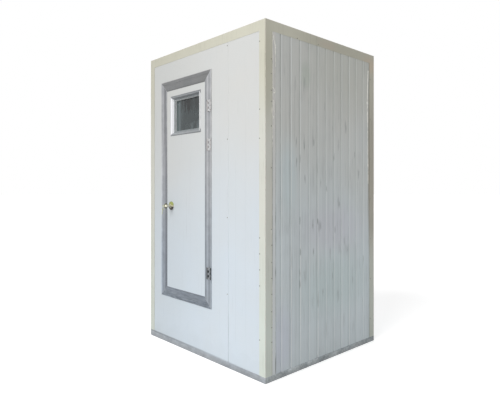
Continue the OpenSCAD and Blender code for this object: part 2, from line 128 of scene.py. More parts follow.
class Graph:
    """A node tree with short methods for the nodes that the finishes use."""

    def __init__(self, tree: Tree) -> None:
        """Keeps the tree that nodes are added to."""
        self.tree = tree

    def add(self, kind: str, **settings: object) -> bpy.types.Node:
        """Adds a node.

        Args:
            kind: Blender's type name of the node.
            **settings: Properties to set on it.

        Returns:
            The new node.
        """
        node = self.tree.nodes.new(kind)
        for name, value in settings.items():
            setattr(node, name, value)
        return node

    def put(self, socket: Socket, value: Feed) -> None:
        """Links a socket into an input, or sets the input's own value.

        Args:
            socket: The input to feed.
            value: A socket to link, or a plain value.
        """
        if isinstance(value, Socket):
            self.tree.links.new(value, socket)
        else:
            socket.default_value = value

    def math(self, operation: str, first: Feed, second: Feed = 0.0, clamp: bool = False) -> Feed:
        """Adds one sum.

        Args:
            operation: Name of the sum, such as MULTIPLY.
            first: First value.
            second: Second value.
            clamp: Whether the result stays from 0 to 1.

        Returns:
            The result's socket.
        """
        node = self.add("ShaderNodeMath", operation=operation, use_clamp=clamp)
        self.put(node.inputs[0], first)
        self.put(node.inputs[1], second)
        return node.outputs[0]

    def times(self, first: Feed, second: Feed) -> Feed:
        """Multiplies two values."""
        return self.math("MULTIPLY", first, second)

    def plus(self, first: Feed, second: Feed) -> Feed:
        """Adds two values."""
        return self.math("ADD", first, second)

    def swing(self, value: Feed, reach: Feed) -> Feed:
        """Centres a value from 0 to 1 on zero, then scales it."""
        return self.times(self.plus(value, -0.5), reach)

    def most(self, values: Sequence[Feed]) -> Feed:
        """Takes the greatest of some values, or 0 of none.

        Args:
            values: The values.

        Returns:
            The greatest value's socket, or 0.
        """
        result: Feed = 0.0
        for value in values:
            result = self.math("MAXIMUM", result, value)
        return result

    def span(self, value: Feed, low: Feed, high: Feed, start: Feed = 0.0, end: Feed = 1.0) -> Feed:
        """Maps a range of a value smoothly onto another range.

        Args:
            value: The value to map.
            low: Where the range begins.
            high: Where the range ends.
            start: Result at low and below.
            end: Result at high and above.

        Returns:
            The mapped value's socket.
        """
        node = self.add("ShaderNodeMapRange", interpolation_type="SMOOTHSTEP")
        for socket, feed in zip(node.inputs[:5], (value, low, high, start, end)):
            self.put(socket, feed)
        return node.outputs[0]

    def mix(self, factor: Feed, first: Feed, second: Feed, mode: str = "MIX") -> Feed:
        """Mixes two colours.

        Args:
            factor: Share of the second colour.
            first: First colour.
            second: Second colour.
            mode: Blend mode.

        Returns:
            The mixed colour's socket.
        """
        node = self.add("ShaderNodeMix", data_type="RGBA", blend_type=mode)
        self.put(node.inputs[0], factor)
        self.put(node.inputs[6], first)
        self.put(node.inputs[7], second)
        return node.outputs[2]

    def vector(self, operation: str, first: Feed, second: Feed) -> Feed:
        """Adds one sum of two vectors.

        Args:
            operation: Name of the sum, such as MULTIPLY.
            first: First vector.
            second: Second vector.

        Returns:
            The resulting vector's socket.
        """
        node = self.add("ShaderNodeVectorMath", operation=operation)
        self.put(node.inputs[0], first)
        self.put(node.inputs[1], second)
        return node.outputs[0]

    def length(self, vector: Feed) -> Feed:
        """Gives the length of a vector.

        Args:
            vector: The vector.

        Returns:
            The length's socket.
        """
        node = self.add("ShaderNodeVectorMath", operation="LENGTH")
        self.put(node.inputs[0], vector)
        return node.outputs["Value"]

    def drawn_out(self, vector: Feed, across: Feed, along: Feed) -> Feed:
        """Stretches a vector by one scale on X and Y and by another on Z.

        Args:
            vector: The vector.
            across: Scale on X and Y.
            along: Scale on Z.

        Returns:
            The stretched vector's socket.
        """
        node = self.add("ShaderNodeCombineXYZ")
        for socket, scale in zip(node.inputs, (across, across, along)):
            self.put(socket, scale)
        return self.vector("MULTIPLY", vector, node.outputs[0])

    def scaled(self, vector: Feed, scale: Point, offset: Point = (0.0, 0.0, 0.0)) -> Feed:
        """Stretches and shifts a vector with a Mapping node.

        Args:
            vector: The vector.
            scale: Scale on each axis.
            offset: Shift on each axis.

        Returns:
            The new vector's socket.
        """
        node = self.add("ShaderNodeMapping")
        self.put(node.inputs["Vector"], vector)
        node.inputs["Scale"].default_value = scale
        node.inputs["Location"].default_value = offset
        return node.outputs[0]

    def noise(self, vector: Feed, scale: Feed, detail: float = 2.0, rough: float = 0.5) -> Feed:
        """Adds a noise texture.

        Args:
            vector: Where it is read.
            scale: Repeats in a metre.
            detail: Layers of finer noise.
            rough: Strength of each finer layer.

        Returns:
            The noise value's socket, about 0.5 on average.
        """
        node = self.add("ShaderNodeTexNoise")
        self.put(node.inputs["Vector"], vector)
        self.put(node.inputs["Scale"], scale)
        node.inputs["Detail"].default_value = detail
        node.inputs["Roughness"].default_value = rough
        return node.outputs[0]

    def part(self, vector: Feed, axis: Axis) -> Feed:
        """Takes one coordinate of a vector.

        Args:
            vector: The vector.
            axis: Which coordinate.

        Returns:
            The coordinate's socket.
        """
        node = self.add("ShaderNodeSeparateXYZ")
        self.put(node.inputs[0], vector)
        return node.outputs[axis.value]

    def near(self, value: Feed, place: float, width: float) -> Feed:
        """Gives 1 where a value is at a place, falling to 0 a width away."""
        away = self.math("ABSOLUTE", self.plus(value, -place))
        return self.span(away, 0.0, width, 1.0, 0.0)

    def between(self, value: Feed, low: float, high: float, soft: float) -> Feed:
        """Gives 1 between two places, with soft ends.

        Args:
            value: The value.
            low: Where the range begins.
            high: Where the range ends.
            soft: Half the width of each soft end.

        Returns:
            The mask's socket, from 0 to 1.
        """
        return self.times(
            self.span(value, low - soft, low + soft),
            self.span(value, high - soft, high + soft, 1.0, 0.0),
        )

    def ramp(self, factor: Feed, stops: Sequence[tuple[float, Colour]]) -> Feed:
        """Adds a colour ramp.

        Args:
            factor: Position on the ramp.
            stops: Positions from 0 to 1, each with its colour.

        Returns:
            The colour's socket.
        """
        node = self.add("ShaderNodeValToRGB")
        elements = node.color_ramp.elements
        while len(elements) < len(stops):
            elements.new(0.5)
        for element, (place, colour) in zip(elements, stops):
            element.position = place
            element.color = colour
        self.put(node.inputs[0], factor)
        return node.outputs[0]

    def effect(self, effect: Effect, **values: Feed) -> Feed:
        """Places a shared effect and gives its first output.

        Args:
            effect: Which effect.
            **values: Its inputs by name, with _ for a space.

        Returns:
            The effect's first output.
        """
        node = self.add("ShaderNodeGroup", node_tree=EFFECTS.tree(effect))
        for name, value in values.items():
            self.put(node.inputs[name.replace("_", " ")], value)
        return node.outputs[0]


def empty_graph(owner: Union[bpy.types.Material, bpy.types.World]) -> Graph:
    """Switches a material or world to nodes and gives its empty graph.

    Args:
        owner: The material or world.

    Returns:
        The graph.
    """
    owner.use_nodes = True
    owner.node_tree.nodes.clear()
    return Graph(owner.node_tree)


class Effect(Enum):
    """The effects that several finishes share."""

    CLOUDING = "clouding"
    RUNS = "rain_runs"
    MARK = "wiped_mark"
    FLOOR_DIRT = "dirt_near_the_ground"
    SPANGLE = "zinc_spangle"
    BRUSHING = "rolling_lines"
    SPECKS = "specks"
    # painted shade and highlight on the flanks of the pressed lines
    GROOVE = "pressed_line_flank_shading"
    BANDS = "upright_bands"


class Group(Graph):
    """The inside of a shared effect: a graph with named inputs and one output."""

    def __init__(self, effect: Effect, **inputs: Feed) -> None:
        """Makes an empty group with its named sockets.

        Args:
            effect: The effect that the group is for.
            **inputs: Defaults of the inputs after Vector, with _ for a space in a name; a
                tuple makes a vector socket.
        """
        super().__init__(bpy.data.node_groups.new(effect.value, "ShaderNodeTree"))
        sockets = self.tree.interface
        inputs = {"Vector": (0.0, 0.0, 0.0), **inputs}
        for name, value in inputs.items():
            kind = "NodeSocketVector" if isinstance(value, tuple) else "NodeSocketFloat"
            socket = sockets.new_socket(
                name=name.replace("_", " "), in_out="INPUT", socket_type=kind
            )
            socket.default_value = value
        sockets.new_socket(name="Amount", in_out="OUTPUT", socket_type="NodeSocketFloat")
        source = self.add("NodeGroupInput")
        self.sink = self.add("NodeGroupOutput")
        self.given = dict(zip(inputs, source.outputs))
        self.here = self.given["Vector"]

    def close(self, amount: Feed) -> Tree:
        """Feeds the group's output and gives its tree."""
        self.put(self.sink.inputs[0], amount)
        return self.tree


class EffectShop:
    """Builds each shared effect once, as a shader node group."""

    def __init__(self) -> None:
        """Starts with no groups."""
        self.made: dict[Effect, Tree] = {}

    def tree(self, effect: Effect) -> Tree:
        """Gives the group of an effect, building it the first time.

        Args:
            effect: Which effect.

        Returns:
            The group's tree.
        """
        if effect not in self.made:
            maker: Callable[[], Tree] = {
                Effect.CLOUDING: self.clouding,
                Effect.RUNS: self.runs,
                Effect.MARK: self.mark,
                Effect.FLOOR_DIRT: self.floor_dirt,
                Effect.SPANGLE: self.spangle,
                Effect.BRUSHING: self.brushing,
                Effect.SPECKS: self.specks,
                Effect.GROOVE: self.groove,
                Effect.BANDS: self.bands,
            }[effect]
            self.made[effect] = maker()
        return self.made[effect]

    def clouding(self) -> Tree:
        """Large soft patches, from 0 to 1.

        Returns:
            The group's tree.
        """
        g = Group(Effect.CLOUDING, Per_Metre=3.0, Contrast=1.0)
        value = g.noise(g.here, g.given["Per_Metre"], 3.0, 0.55)
        value = g.swing(value, g.given["Contrast"])
        return g.close(g.math("ADD", g.times(value, 2.2), 0.5, clamp=True))

    def runs(self) -> Tree:
        """Thin upright streaks of different lengths, left by rain.

        Returns:
            The group's tree.
        """
        g = Group(Effect.RUNS, Across=90.0, Along=2.5, Cover=0.4)
        drawn = g.drawn_out(g.here, g.given["Across"], g.given["Along"])
        lines = g.noise(drawn, 1.0, 2.0, 0.6)
        edge = g.math("SUBTRACT", 0.78, g.times(g.given["Cover"], 0.4))
        mask = g.span(lines, edge, g.plus(edge, 0.12))
        broken = g.span(g.noise(g.here, 5.0, 1.0), 0.4, 0.62)
        return g.close(g.times(mask, broken))

    def mark(self) -> Tree:
        """One wiped mark with a streaky, faded outline.

        Returns:
            The group's tree.
        """
        g = Group(Effect.MARK, Centre=(0.0, 0.0, 1.0), Half_Size=(0.1, 0.1, 0.1))
        away = g.vector("SUBTRACT", g.here, g.given["Centre"])
        far = g.length(g.vector("DIVIDE", away, g.given["Half_Size"]))
        ragged = g.noise(g.scaled(g.here, (130.0, 130.0, 16.0)), 1.0, 2.0, 0.6)
        return g.close(g.span(g.plus(far, g.swing(ragged, 2.6)), 0.35, 1.15, 1.0, 0.0))

    def floor_dirt(self) -> Tree:
        """Splash dirt that fades out above the ground.

        Returns:
            The group's tree.
        """
        g = Group(Effect.FLOOR_DIRT, Height=0.3)
        height = g.part(g.here, Axis.Z)
        ragged = g.noise(g.here, 9.0, 4.0, 0.6)
        reach = g.math("DIVIDE", height, g.given["Height"])
        return g.close(g.span(g.plus(reach, g.swing(ragged, 1.4)), 0.05, 1.0, 1.0, 0.0))

    def spangle(self) -> Tree:
        """Crystals of hot-dip zinc, each a little lighter or darker.

        Returns:
            The group's tree.
        """
        g = Group(Effect.SPANGLE, Per_Metre=70.0)
        jitter = g.add("ShaderNodeTexNoise")
        g.put(jitter.inputs["Vector"], g.here)
        jitter.inputs["Scale"].default_value = 60.0
        small = g.add("ShaderNodeVectorMath", operation="SCALE")
        g.put(small.inputs[0], jitter.outputs["Color"])
        small.inputs["Scale"].default_value = 0.012
        cells = g.add("ShaderNodeTexVoronoi", feature="F1")
        g.put(cells.inputs["Vector"], g.vector("ADD", g.here, small.outputs[0]))
        g.put(cells.inputs["Scale"], g.given["Per_Metre"])
        return g.close(g.part(cells.outputs["Color"], Axis.X))

    def brushing(self) -> Tree:
        """Fine lines along the length of a rolled or drawn section.

        Returns:
            The group's tree.
        """
        g = Group(Effect.BRUSHING, Stretch=(900.0, 900.0, 4.0))
        drawn = g.vector("MULTIPLY", g.here, g.given["Stretch"])
        return g.close(g.noise(drawn, 1.0, 2.0, 0.6))

    def specks(self) -> Tree:
        """Small scattered specks and pits.

        Returns:
            The group's tree.
        """
        g = Group(Effect.SPECKS, Per_Metre=160.0, Cover=0.2)
        dots = g.noise(g.here, g.given["Per_Metre"], 2.0, 0.65)
        edge = g.math("SUBTRACT", 0.85, g.times(g.given["Cover"], 0.4))
        return g.close(g.span(dots, edge, g.plus(edge, 0.06)))

    def groove(self) -> Tree:
        """A painted stroke on one flank of every pressed line, for the shade of one flank and the
        highlight of the other, stronger on some than on others.

        Returns:
            The group's tree.
        """
        g = Group(Effect.GROOVE, Place=0.0, First=0.0, Pitch=0.1, Offset=0.0, Width=0.004)
        pitch = g.given["Pitch"]
        turns = g.math("DIVIDE", g.math("SUBTRACT", g.given["Place"], g.given["First"]), pitch)
        index = g.math("ROUND", turns)
        away = g.times(g.math("SUBTRACT", turns, index), pitch)
        away = g.math("ABSOLUTE", g.math("SUBTRACT", away, g.given["Offset"]))
        mask = g.span(away, 0.0, g.given["Width"], 1.0, 0.0)
        lot = g.add("ShaderNodeTexWhiteNoise", noise_dimensions="1D")
        g.put(lot.inputs["W"], g.plus(index, 0.37))
        strength = g.plus(0.42, g.times(lot.outputs["Value"], 0.58))
        broken = g.noise(g.scaled(g.here, (9.0, 9.0, 2.6)), 1.0, 3.0, 0.6)
        broken = g.span(broken, 0.34, 0.6, 0.5, 1.0)
        return g.close(g.times(g.times(mask, strength), broken))

    def bands(self) -> Tree:
        """Broad upright bands, as sheet takes dust unevenly between its lines.

        Returns:
            The group's tree.
        """
        g = Group(Effect.BANDS, Across=38.0, Along=0.7)
        drawn = g.drawn_out(g.here, g.given["Across"], g.given["Along"])
        return g.close(g.span(g.noise(drawn, 1.0, 3.0, 0.55), 0.3, 0.7))


EFFECTS = EffectShop()


# ---------------------------------------------------------------- finishes


class Tone:
    """Colours that several finishes share."""

    # The lower white and cream tones hold a painted bluish reflection, so the sheets turn bluer
    # towards their feet.
    WHITE_UPPER = srgb(219, 219, 216)
    WHITE_LOWER = srgb(213, 224, 234)
    WHITE_PATCH = srgb(212, 217, 219)
    CREAM_UPPER = srgb(214, 212, 195)
    CREAM_MIDDLE = srgb(220, 221, 212)
    CREAM_LOWER = srgb(216, 224, 216)
    RUBBER = srgb(46, 46, 46)


@dataclass(frozen=True)
class Line:
    """A thin line of dirt or wear along Z, at a place on one axis."""

    axis: Axis
    place: float
    width: float
    strength: float
    low: float = -1.0
    high: float = 9.0


@dataclass(frozen=True)
class Mark:
    """A wiped smudge: its centre and half sizes."""

    centre: Point
    half: Point
    strength: float


class Coat(Graph):
    """The graph of one material: its Principled BSDF, fed at every place of a piece."""

    def __init__(self, tree: Tree) -> None:
        """Adds the shader, its output and the object coordinates.

        Args:
            tree: The material's node tree.
        """
        super().__init__(tree)
        self.bsdf = self.add("ShaderNodeBsdfPrincipled")
        output = self.add("ShaderNodeOutputMaterial")
        self.put(output.inputs["Surface"], self.bsdf.outputs[0])
        self.here = self.add("ShaderNodeTexCoord").outputs["Object"]

    def at(self, axis: Axis) -> Feed:
        """Gives one of the place's coordinates."""
        return self.part(self.here, axis)

    def into(self, name: str, value: Feed) -> None:
        """Feeds one of the shader's inputs."""
        self.put(self.bsdf.inputs[name], value)

    def effect(self, effect: Effect, **values: Feed) -> Feed:
        """Places a shared effect, read at the place itself unless Vector is given."""
        return super().effect(effect, **{"Vector": self.here, **values})

    def bump(self, height: Feed, depth: float) -> None:
        """Feeds a height from 0 to 1 into the normal, as a relief of a depth in metres.

        Args:
            height: Height from 0 to 1.
            depth: Depth of the relief in metres.
        """
        node = self.add("ShaderNodeBump")
        node.inputs["Distance"].default_value = depth
        self.put(node.inputs["Height"], height)
        self.into("Normal", node.outputs[0])


class Finish:
    """A material that is built once, the first time that a piece wears it."""

    name: str
    made: dict[str, bpy.types.Material] = {}
    washes: tuple["Wash", ...] = ()

    def material(self) -> bpy.types.Material:
        """Gives the finish's material, building it the first time.

        Returns:
            The material.
        """
        if self.name not in Finish.made:
            material = bpy.data.materials.new(self.name)
            self.paint(Coat(empty_graph(material).tree))
            Finish.made[self.name] = material
        return Finish.made[self.name]

    def paint(self, g: Coat) -> None:
        """Builds the finish's own nodes.

        Args:
            g: The material's graph.
        """
        raise NotImplementedError

    def washed(self, g: Coat, colour: Feed) -> Feed:
        """Lays the soft tints over a colour.

        Args:
            g: The material's graph.
            colour: The colour below.

        Returns:
            The tinted colour.
        """
        for wash in self.washes:
            scale = tuple(1 / half for half in wash.half)
            shift = tuple(-place / half for place, half in zip(wash.centre, wash.half))
            far = g.length(g.scaled(g.here, scale, shift))
            share = g.span(far, 0.2, 1.0, wash.amount, 0.0)
            colour = g.mix(share, colour, wash.tone)
        return colour


@dataclass(frozen=True)
class Grooves:
    """The pressed lines of a wall: a painted shade stroke on the flank turned from the light and a
    painted highlight stroke on the lit flank.
    """

    axis: Axis
    first: float
    pitch: float = 0.1
    apart: float = 7 * MM
    wide: float = 6.5 * MM
    # dirt: strength of the painted shade on the flank turned from the light; the field below:
    # strength of the painted highlight on the lit flank
    dirt: float = 0.74
    flank_highlight: float = 0.9


@dataclass(frozen=True)
class Wash:
    """A soft tint on a wall: its centre, half sizes, colour and strength."""

    centre: Point
    half: Point
    tone: Colour
    amount: float


@dataclass(frozen=True)
class Darkening:
    """A darkening that is strongest at one place on an axis and gone at another."""

    axis: Axis
    thick: float
    gone: float
    amount: float


@dataclass(frozen=True)
class SheetPaint(Finish):
    """Factory-painted sheet, dusty and rained on, with painted shade and highlight on the flanks of
    its pressed lines and a painted bluish reflection lower down.
    """

    name: str
    upper: Colour = Tone.WHITE_UPPER
    lower: Colour = Tone.WHITE_LOWER
    patch: Colour = Tone.WHITE_PATCH
    grime: Colour = srgb(122, 128, 128)
    slit: Colour = srgb(70, 74, 78)
    # colour of the painted highlight on the lit flank of each pressed line
    flank_highlight: Colour = srgb(238, 240, 240)
    runs: float = 0.16
    run_cover: float = 0.4
    banding: float = 0.0
    floor_dirt: float = 0.12
    patching: float = 0.3
    roughness: float = 0.4
    turn: float = 1.25
    darkenings: tuple[Darkening, ...] = ()
    grooves: tuple[Grooves, ...] = ()
    lines: tuple[Line, ...] = ()
    marks: tuple[Mark, ...] = ()
    washes: tuple[Wash, ...] = ()

    def line_mask(self, g: Coat) -> Feed:
        """Gives the mask of the finish's thin lines.

        Args:
            g: The material's graph.

        Returns:
            The mask's socket, from 0 to 1.
        """
        height = g.at(Axis.Z)
        masks = []
        for line in self.lines:
            mask = g.near(g.at(line.axis), line.place, line.width)
            mask = g.times(mask, g.between(height, line.low, line.high, 0.04))
            masks.append(g.times(mask, line.strength))
        broken = g.span(g.noise(g.scaled(g.here, (2.0, 2.0, 11.0)), 1.0, 3.0, 0.6), 0.3, 0.6, 0.4)
        return g.times(g.most(masks), broken)

    def groove_mask(self, g: Coat, side: float) -> Feed:
        """Gives the mask of the painted stroke on one flank of every pressed line.

        Args:
            g: The material's graph.
            side: -1 for the painted shade on the flank turned from the light, 1 for the painted
                highlight on the lit flank.

        Returns:
            The mask.
        """
        masks = []
        for lines in self.grooves:
            mask = g.effect(
                Effect.GROOVE,
                Place=g.at(lines.axis),
                First=lines.first,
                Pitch=lines.pitch,
                Offset=side * lines.apart,
                Width=lines.wide,
            )
            masks.append(g.times(mask, lines.dirt if side < 0 else lines.flank_highlight))
        return g.most(masks)

    def soil(self, g: Coat) -> Feed:
        """Gives how dirty the sheet is, with the painted shade on the pressed lines' dark flanks,
        from 0 to 1.

        Args:
            g: The material's graph.

        Returns:
            The mask's socket, from 0 to 1.
        """
        runs = g.effect(Effect.RUNS, Across=110.0, Along=3.4, Cover=self.run_cover)
        fine = g.effect(Effect.RUNS, Across=260.0, Along=8.0, Cover=self.run_cover)
        layers = [g.times(runs, self.runs), g.times(fine, self.runs * 0.7)]
        dirt = g.effect(Effect.FLOOR_DIRT, Height=0.22)
        layers.append(g.times(dirt, self.floor_dirt))
        for mark in self.marks:
            mask = g.effect(Effect.MARK, Centre=mark.centre, Half_Size=mark.half)
            layers.append(g.times(mask, mark.strength))
        specks = g.effect(Effect.SPECKS, Per_Metre=210.0, Cover=0.22)
        layers.append(g.times(specks, 0.10))
        # painted shade on the flank of each pressed line that is turned from the light, laid in the
        # grime colour
        layers.append(self.groove_mask(g, -1.0))
        return g.most(layers)

    def paint(self, g: Coat) -> None:
        """Lays the coat with its painted bluish reflection lower down, its patches, rain runs,
        lines, marks and dirt, and the painted shade and highlight on its pressed lines.

        Args:
            g: The material's graph.
        """
        wander = g.swing(g.noise(g.here, 1.3, 2.0), 1.2)
        share = g.span(g.plus(g.at(Axis.Z), wander), self.turn - 0.9, self.turn + 0.9)
        # towards the lower colour a painted bluish reflection grows downwards
        colour = g.mix(share, self.lower, self.upper)
        cloud = g.effect(Effect.CLOUDING, Per_Metre=2.1, Contrast=1.3)
        colour = g.mix(g.times(cloud, self.patching), colour, self.patch)
        colour = self.washed(g, colour)
        for darkening in self.darkenings:
            place = g.at(darkening.axis)
            share = g.span(place, darkening.thick, darkening.gone, darkening.amount, 0.0)
            colour = g.mix(share, colour, self.grime)
        if self.banding > 0:
            bands = g.effect(Effect.BANDS, Across=38.0, Along=0.7)
            colour = g.mix(g.times(bands, self.banding), colour, self.grime)
        # painted highlight on the lit flank of each pressed line
        colour = g.mix(self.groove_mask(g, 1.0), colour, self.flank_highlight)
        soil = self.soil(g)
        colour = g.mix(soil, colour, self.grime)
        g.into("Base Color", g.mix(self.line_mask(g), colour, self.slit))
        rough = g.plus(self.roughness, g.times(soil, 0.4))
        g.into("Roughness", g.plus(rough, g.times(cloud, 0.08)))
        peel = g.noise(g.here, 520.0, 2.0)
        sag = g.noise(g.scaled(g.here, (5.0, 5.0, 1.3)), 1.0, 1.0)
        g.bump(g.plus(sag, g.times(peel, 0.012)), 1.6 * MM)


@dataclass(frozen=True)
class TrimPaint(Finish):
    """Folded cream sheet with scuffs, rain runs and worn folds."""

    name: str
    upper: Colour
    middle: Colour
    lower: Colour
    corner: Point
    leg: float
    drop: float
    fold: tuple[float, float] = (0.8 * MM, 3.0 * MM)
    wall_edge_band: float = 16 * MM
    worn: Colour = srgb(226, 214, 206)
    grime: Colour = srgb(124, 120, 104)
    roughness: float = 0.42
    washes: tuple[Wash, ...] = ()

    def wear(self, g: Coat) -> Feed:
        """Gives the mask of the chipped coat along the folds.

        Args:
            g: The material's graph.

        Returns:
            The mask's socket, from 0 to 1.
        """
        folds = []
        for axis, edge in zip(Axis, self.corner):
            away = g.math("SUBTRACT", edge, g.math("ABSOLUTE", g.at(axis)))
            folds.append(g.span(away, *self.fold, 1.0, 0.0))
        both = g.times(folds[0], folds[1])
        top = g.times(folds[2], g.math("MAXIMUM", folds[0], folds[1]))
        chipped = g.span(g.noise(g.here, 75.0, 3.0, 0.6), 0.42, 0.6)
        return g.times(g.math("MAXIMUM", both, top), chipped)

    def darkenings(self, g: Coat) -> Feed:
        """Gives a darkening: towards the back, towards the left and along the inner edge by the
        walls.

        Args:
            g: The material's graph.

        Returns:
            The mask's socket, from 0 to 1.
        """
        along = g.span(g.at(Axis.Y), -0.5, 0.1, 0.0, 0.30)
        left = g.span(g.at(Axis.X), 0.6, -0.7, 0.0, 0.26)
        inner = g.math("ABSOLUTE", g.at(Axis.Y))
        inner = g.near(inner, self.corner[1] - self.leg, self.wall_edge_band)
        below = g.math("LESS_THAN", g.at(Axis.Z), self.corner[2] - self.drop)
        return g.most([along, left, g.times(g.times(inner, below), 0.2)])

    def paint(self, g: Coat) -> None:
        """Lays the coat, its runs, scuffs and worn folds.

        Args:
            g: The material's graph.
        """
        height = g.at(Axis.Z)
        wander = g.plus(height, g.swing(g.noise(g.here, 1.6), 0.6))
        # the lower cream holds a painted bluish reflection
        colour = g.mix(g.span(wander, 0.3, 1.2), self.lower, self.middle)
        colour = g.mix(g.span(wander, 1.5, 2.3), colour, self.upper)
        cloud = g.effect(Effect.CLOUDING, Per_Metre=5.0, Contrast=1.2)
        colour = g.mix(g.times(cloud, 0.18), colour, shade(self.upper, 0.86))
        colour = g.mix(self.darkenings(g), colour, self.grime)
        colour = self.washed(g, colour)
        runs = g.effect(Effect.RUNS, Across=150.0, Along=3.0, Cover=0.55)
        dirt = g.effect(Effect.FLOOR_DIRT, Height=0.3)
        patchy = g.scaled(g.here, (1.0, 1.0, 0.35))
        scuffs = g.effect(Effect.SPECKS, Vector=patchy, Per_Metre=120.0, Cover=0.3)
        soil = g.most([g.times(runs, 0.2), g.times(dirt, 0.06), g.times(scuffs, 0.25)])
        colour = g.mix(soil, colour, self.grime)
        colour = g.mix(g.times(self.wear(g), 0.75), colour, self.worn)
        g.into("Base Color", colour)
        g.into("Roughness", g.plus(self.roughness, g.times(soil, 0.5)))
        peel = g.noise(g.here, 480.0, 2.0)
        sag = g.noise(g.scaled(g.here, (9.0, 9.0, 3.0)), 1.0, 1.0)
        g.bump(g.plus(sag, g.times(peel, 0.02)), 1.0 * MM)


@dataclass(frozen=True)
class Galvanised(Finish):
    """Hot-dip zinc: crystals, white bloom and dirt near the ground."""

    name: str
    light: Colour
    dark: Colour
    bloom: Colour = srgb(196, 200, 202)
    dirt: Colour = srgb(112, 110, 104)
    soiled: float = 0.35
    metallic: float = 0.45
    roughness: float = 0.5

    def paint(self, g: Coat) -> None:
        """Lays the crystals, the bloom and the splash dirt.

        Args:
            g: The material's graph.
        """
        tone = g.effect(Effect.SPANGLE, Per_Metre=85.0)
        cloud = g.effect(Effect.CLOUDING, Per_Metre=7.0, Contrast=1.8)
        colour = g.mix(g.plus(g.times(tone, 0.45), g.times(cloud, 0.55)), self.dark, self.light)
        bloom = g.span(g.noise(g.here, 14.0, 5.0, 0.65), 0.55, 0.75)
        colour = g.mix(g.times(bloom, 0.35), colour, self.bloom)
        soil = g.effect(Effect.FLOOR_DIRT, Height=0.07)
        soil = g.times(soil, self.soiled)
        g.into("Base Color", g.mix(soil, colour, self.dirt))
        g.into("Metallic", self.metallic)
        rough = g.plus(self.roughness, g.times(tone, 0.1))
        g.into("Roughness", g.plus(rough, g.times(soil, 0.4)))
        dents = g.noise(g.here, 22.0, 3.0, 0.55)
        g.bump(g.plus(dents, g.times(tone, 0.06)), 0.7 * MM)


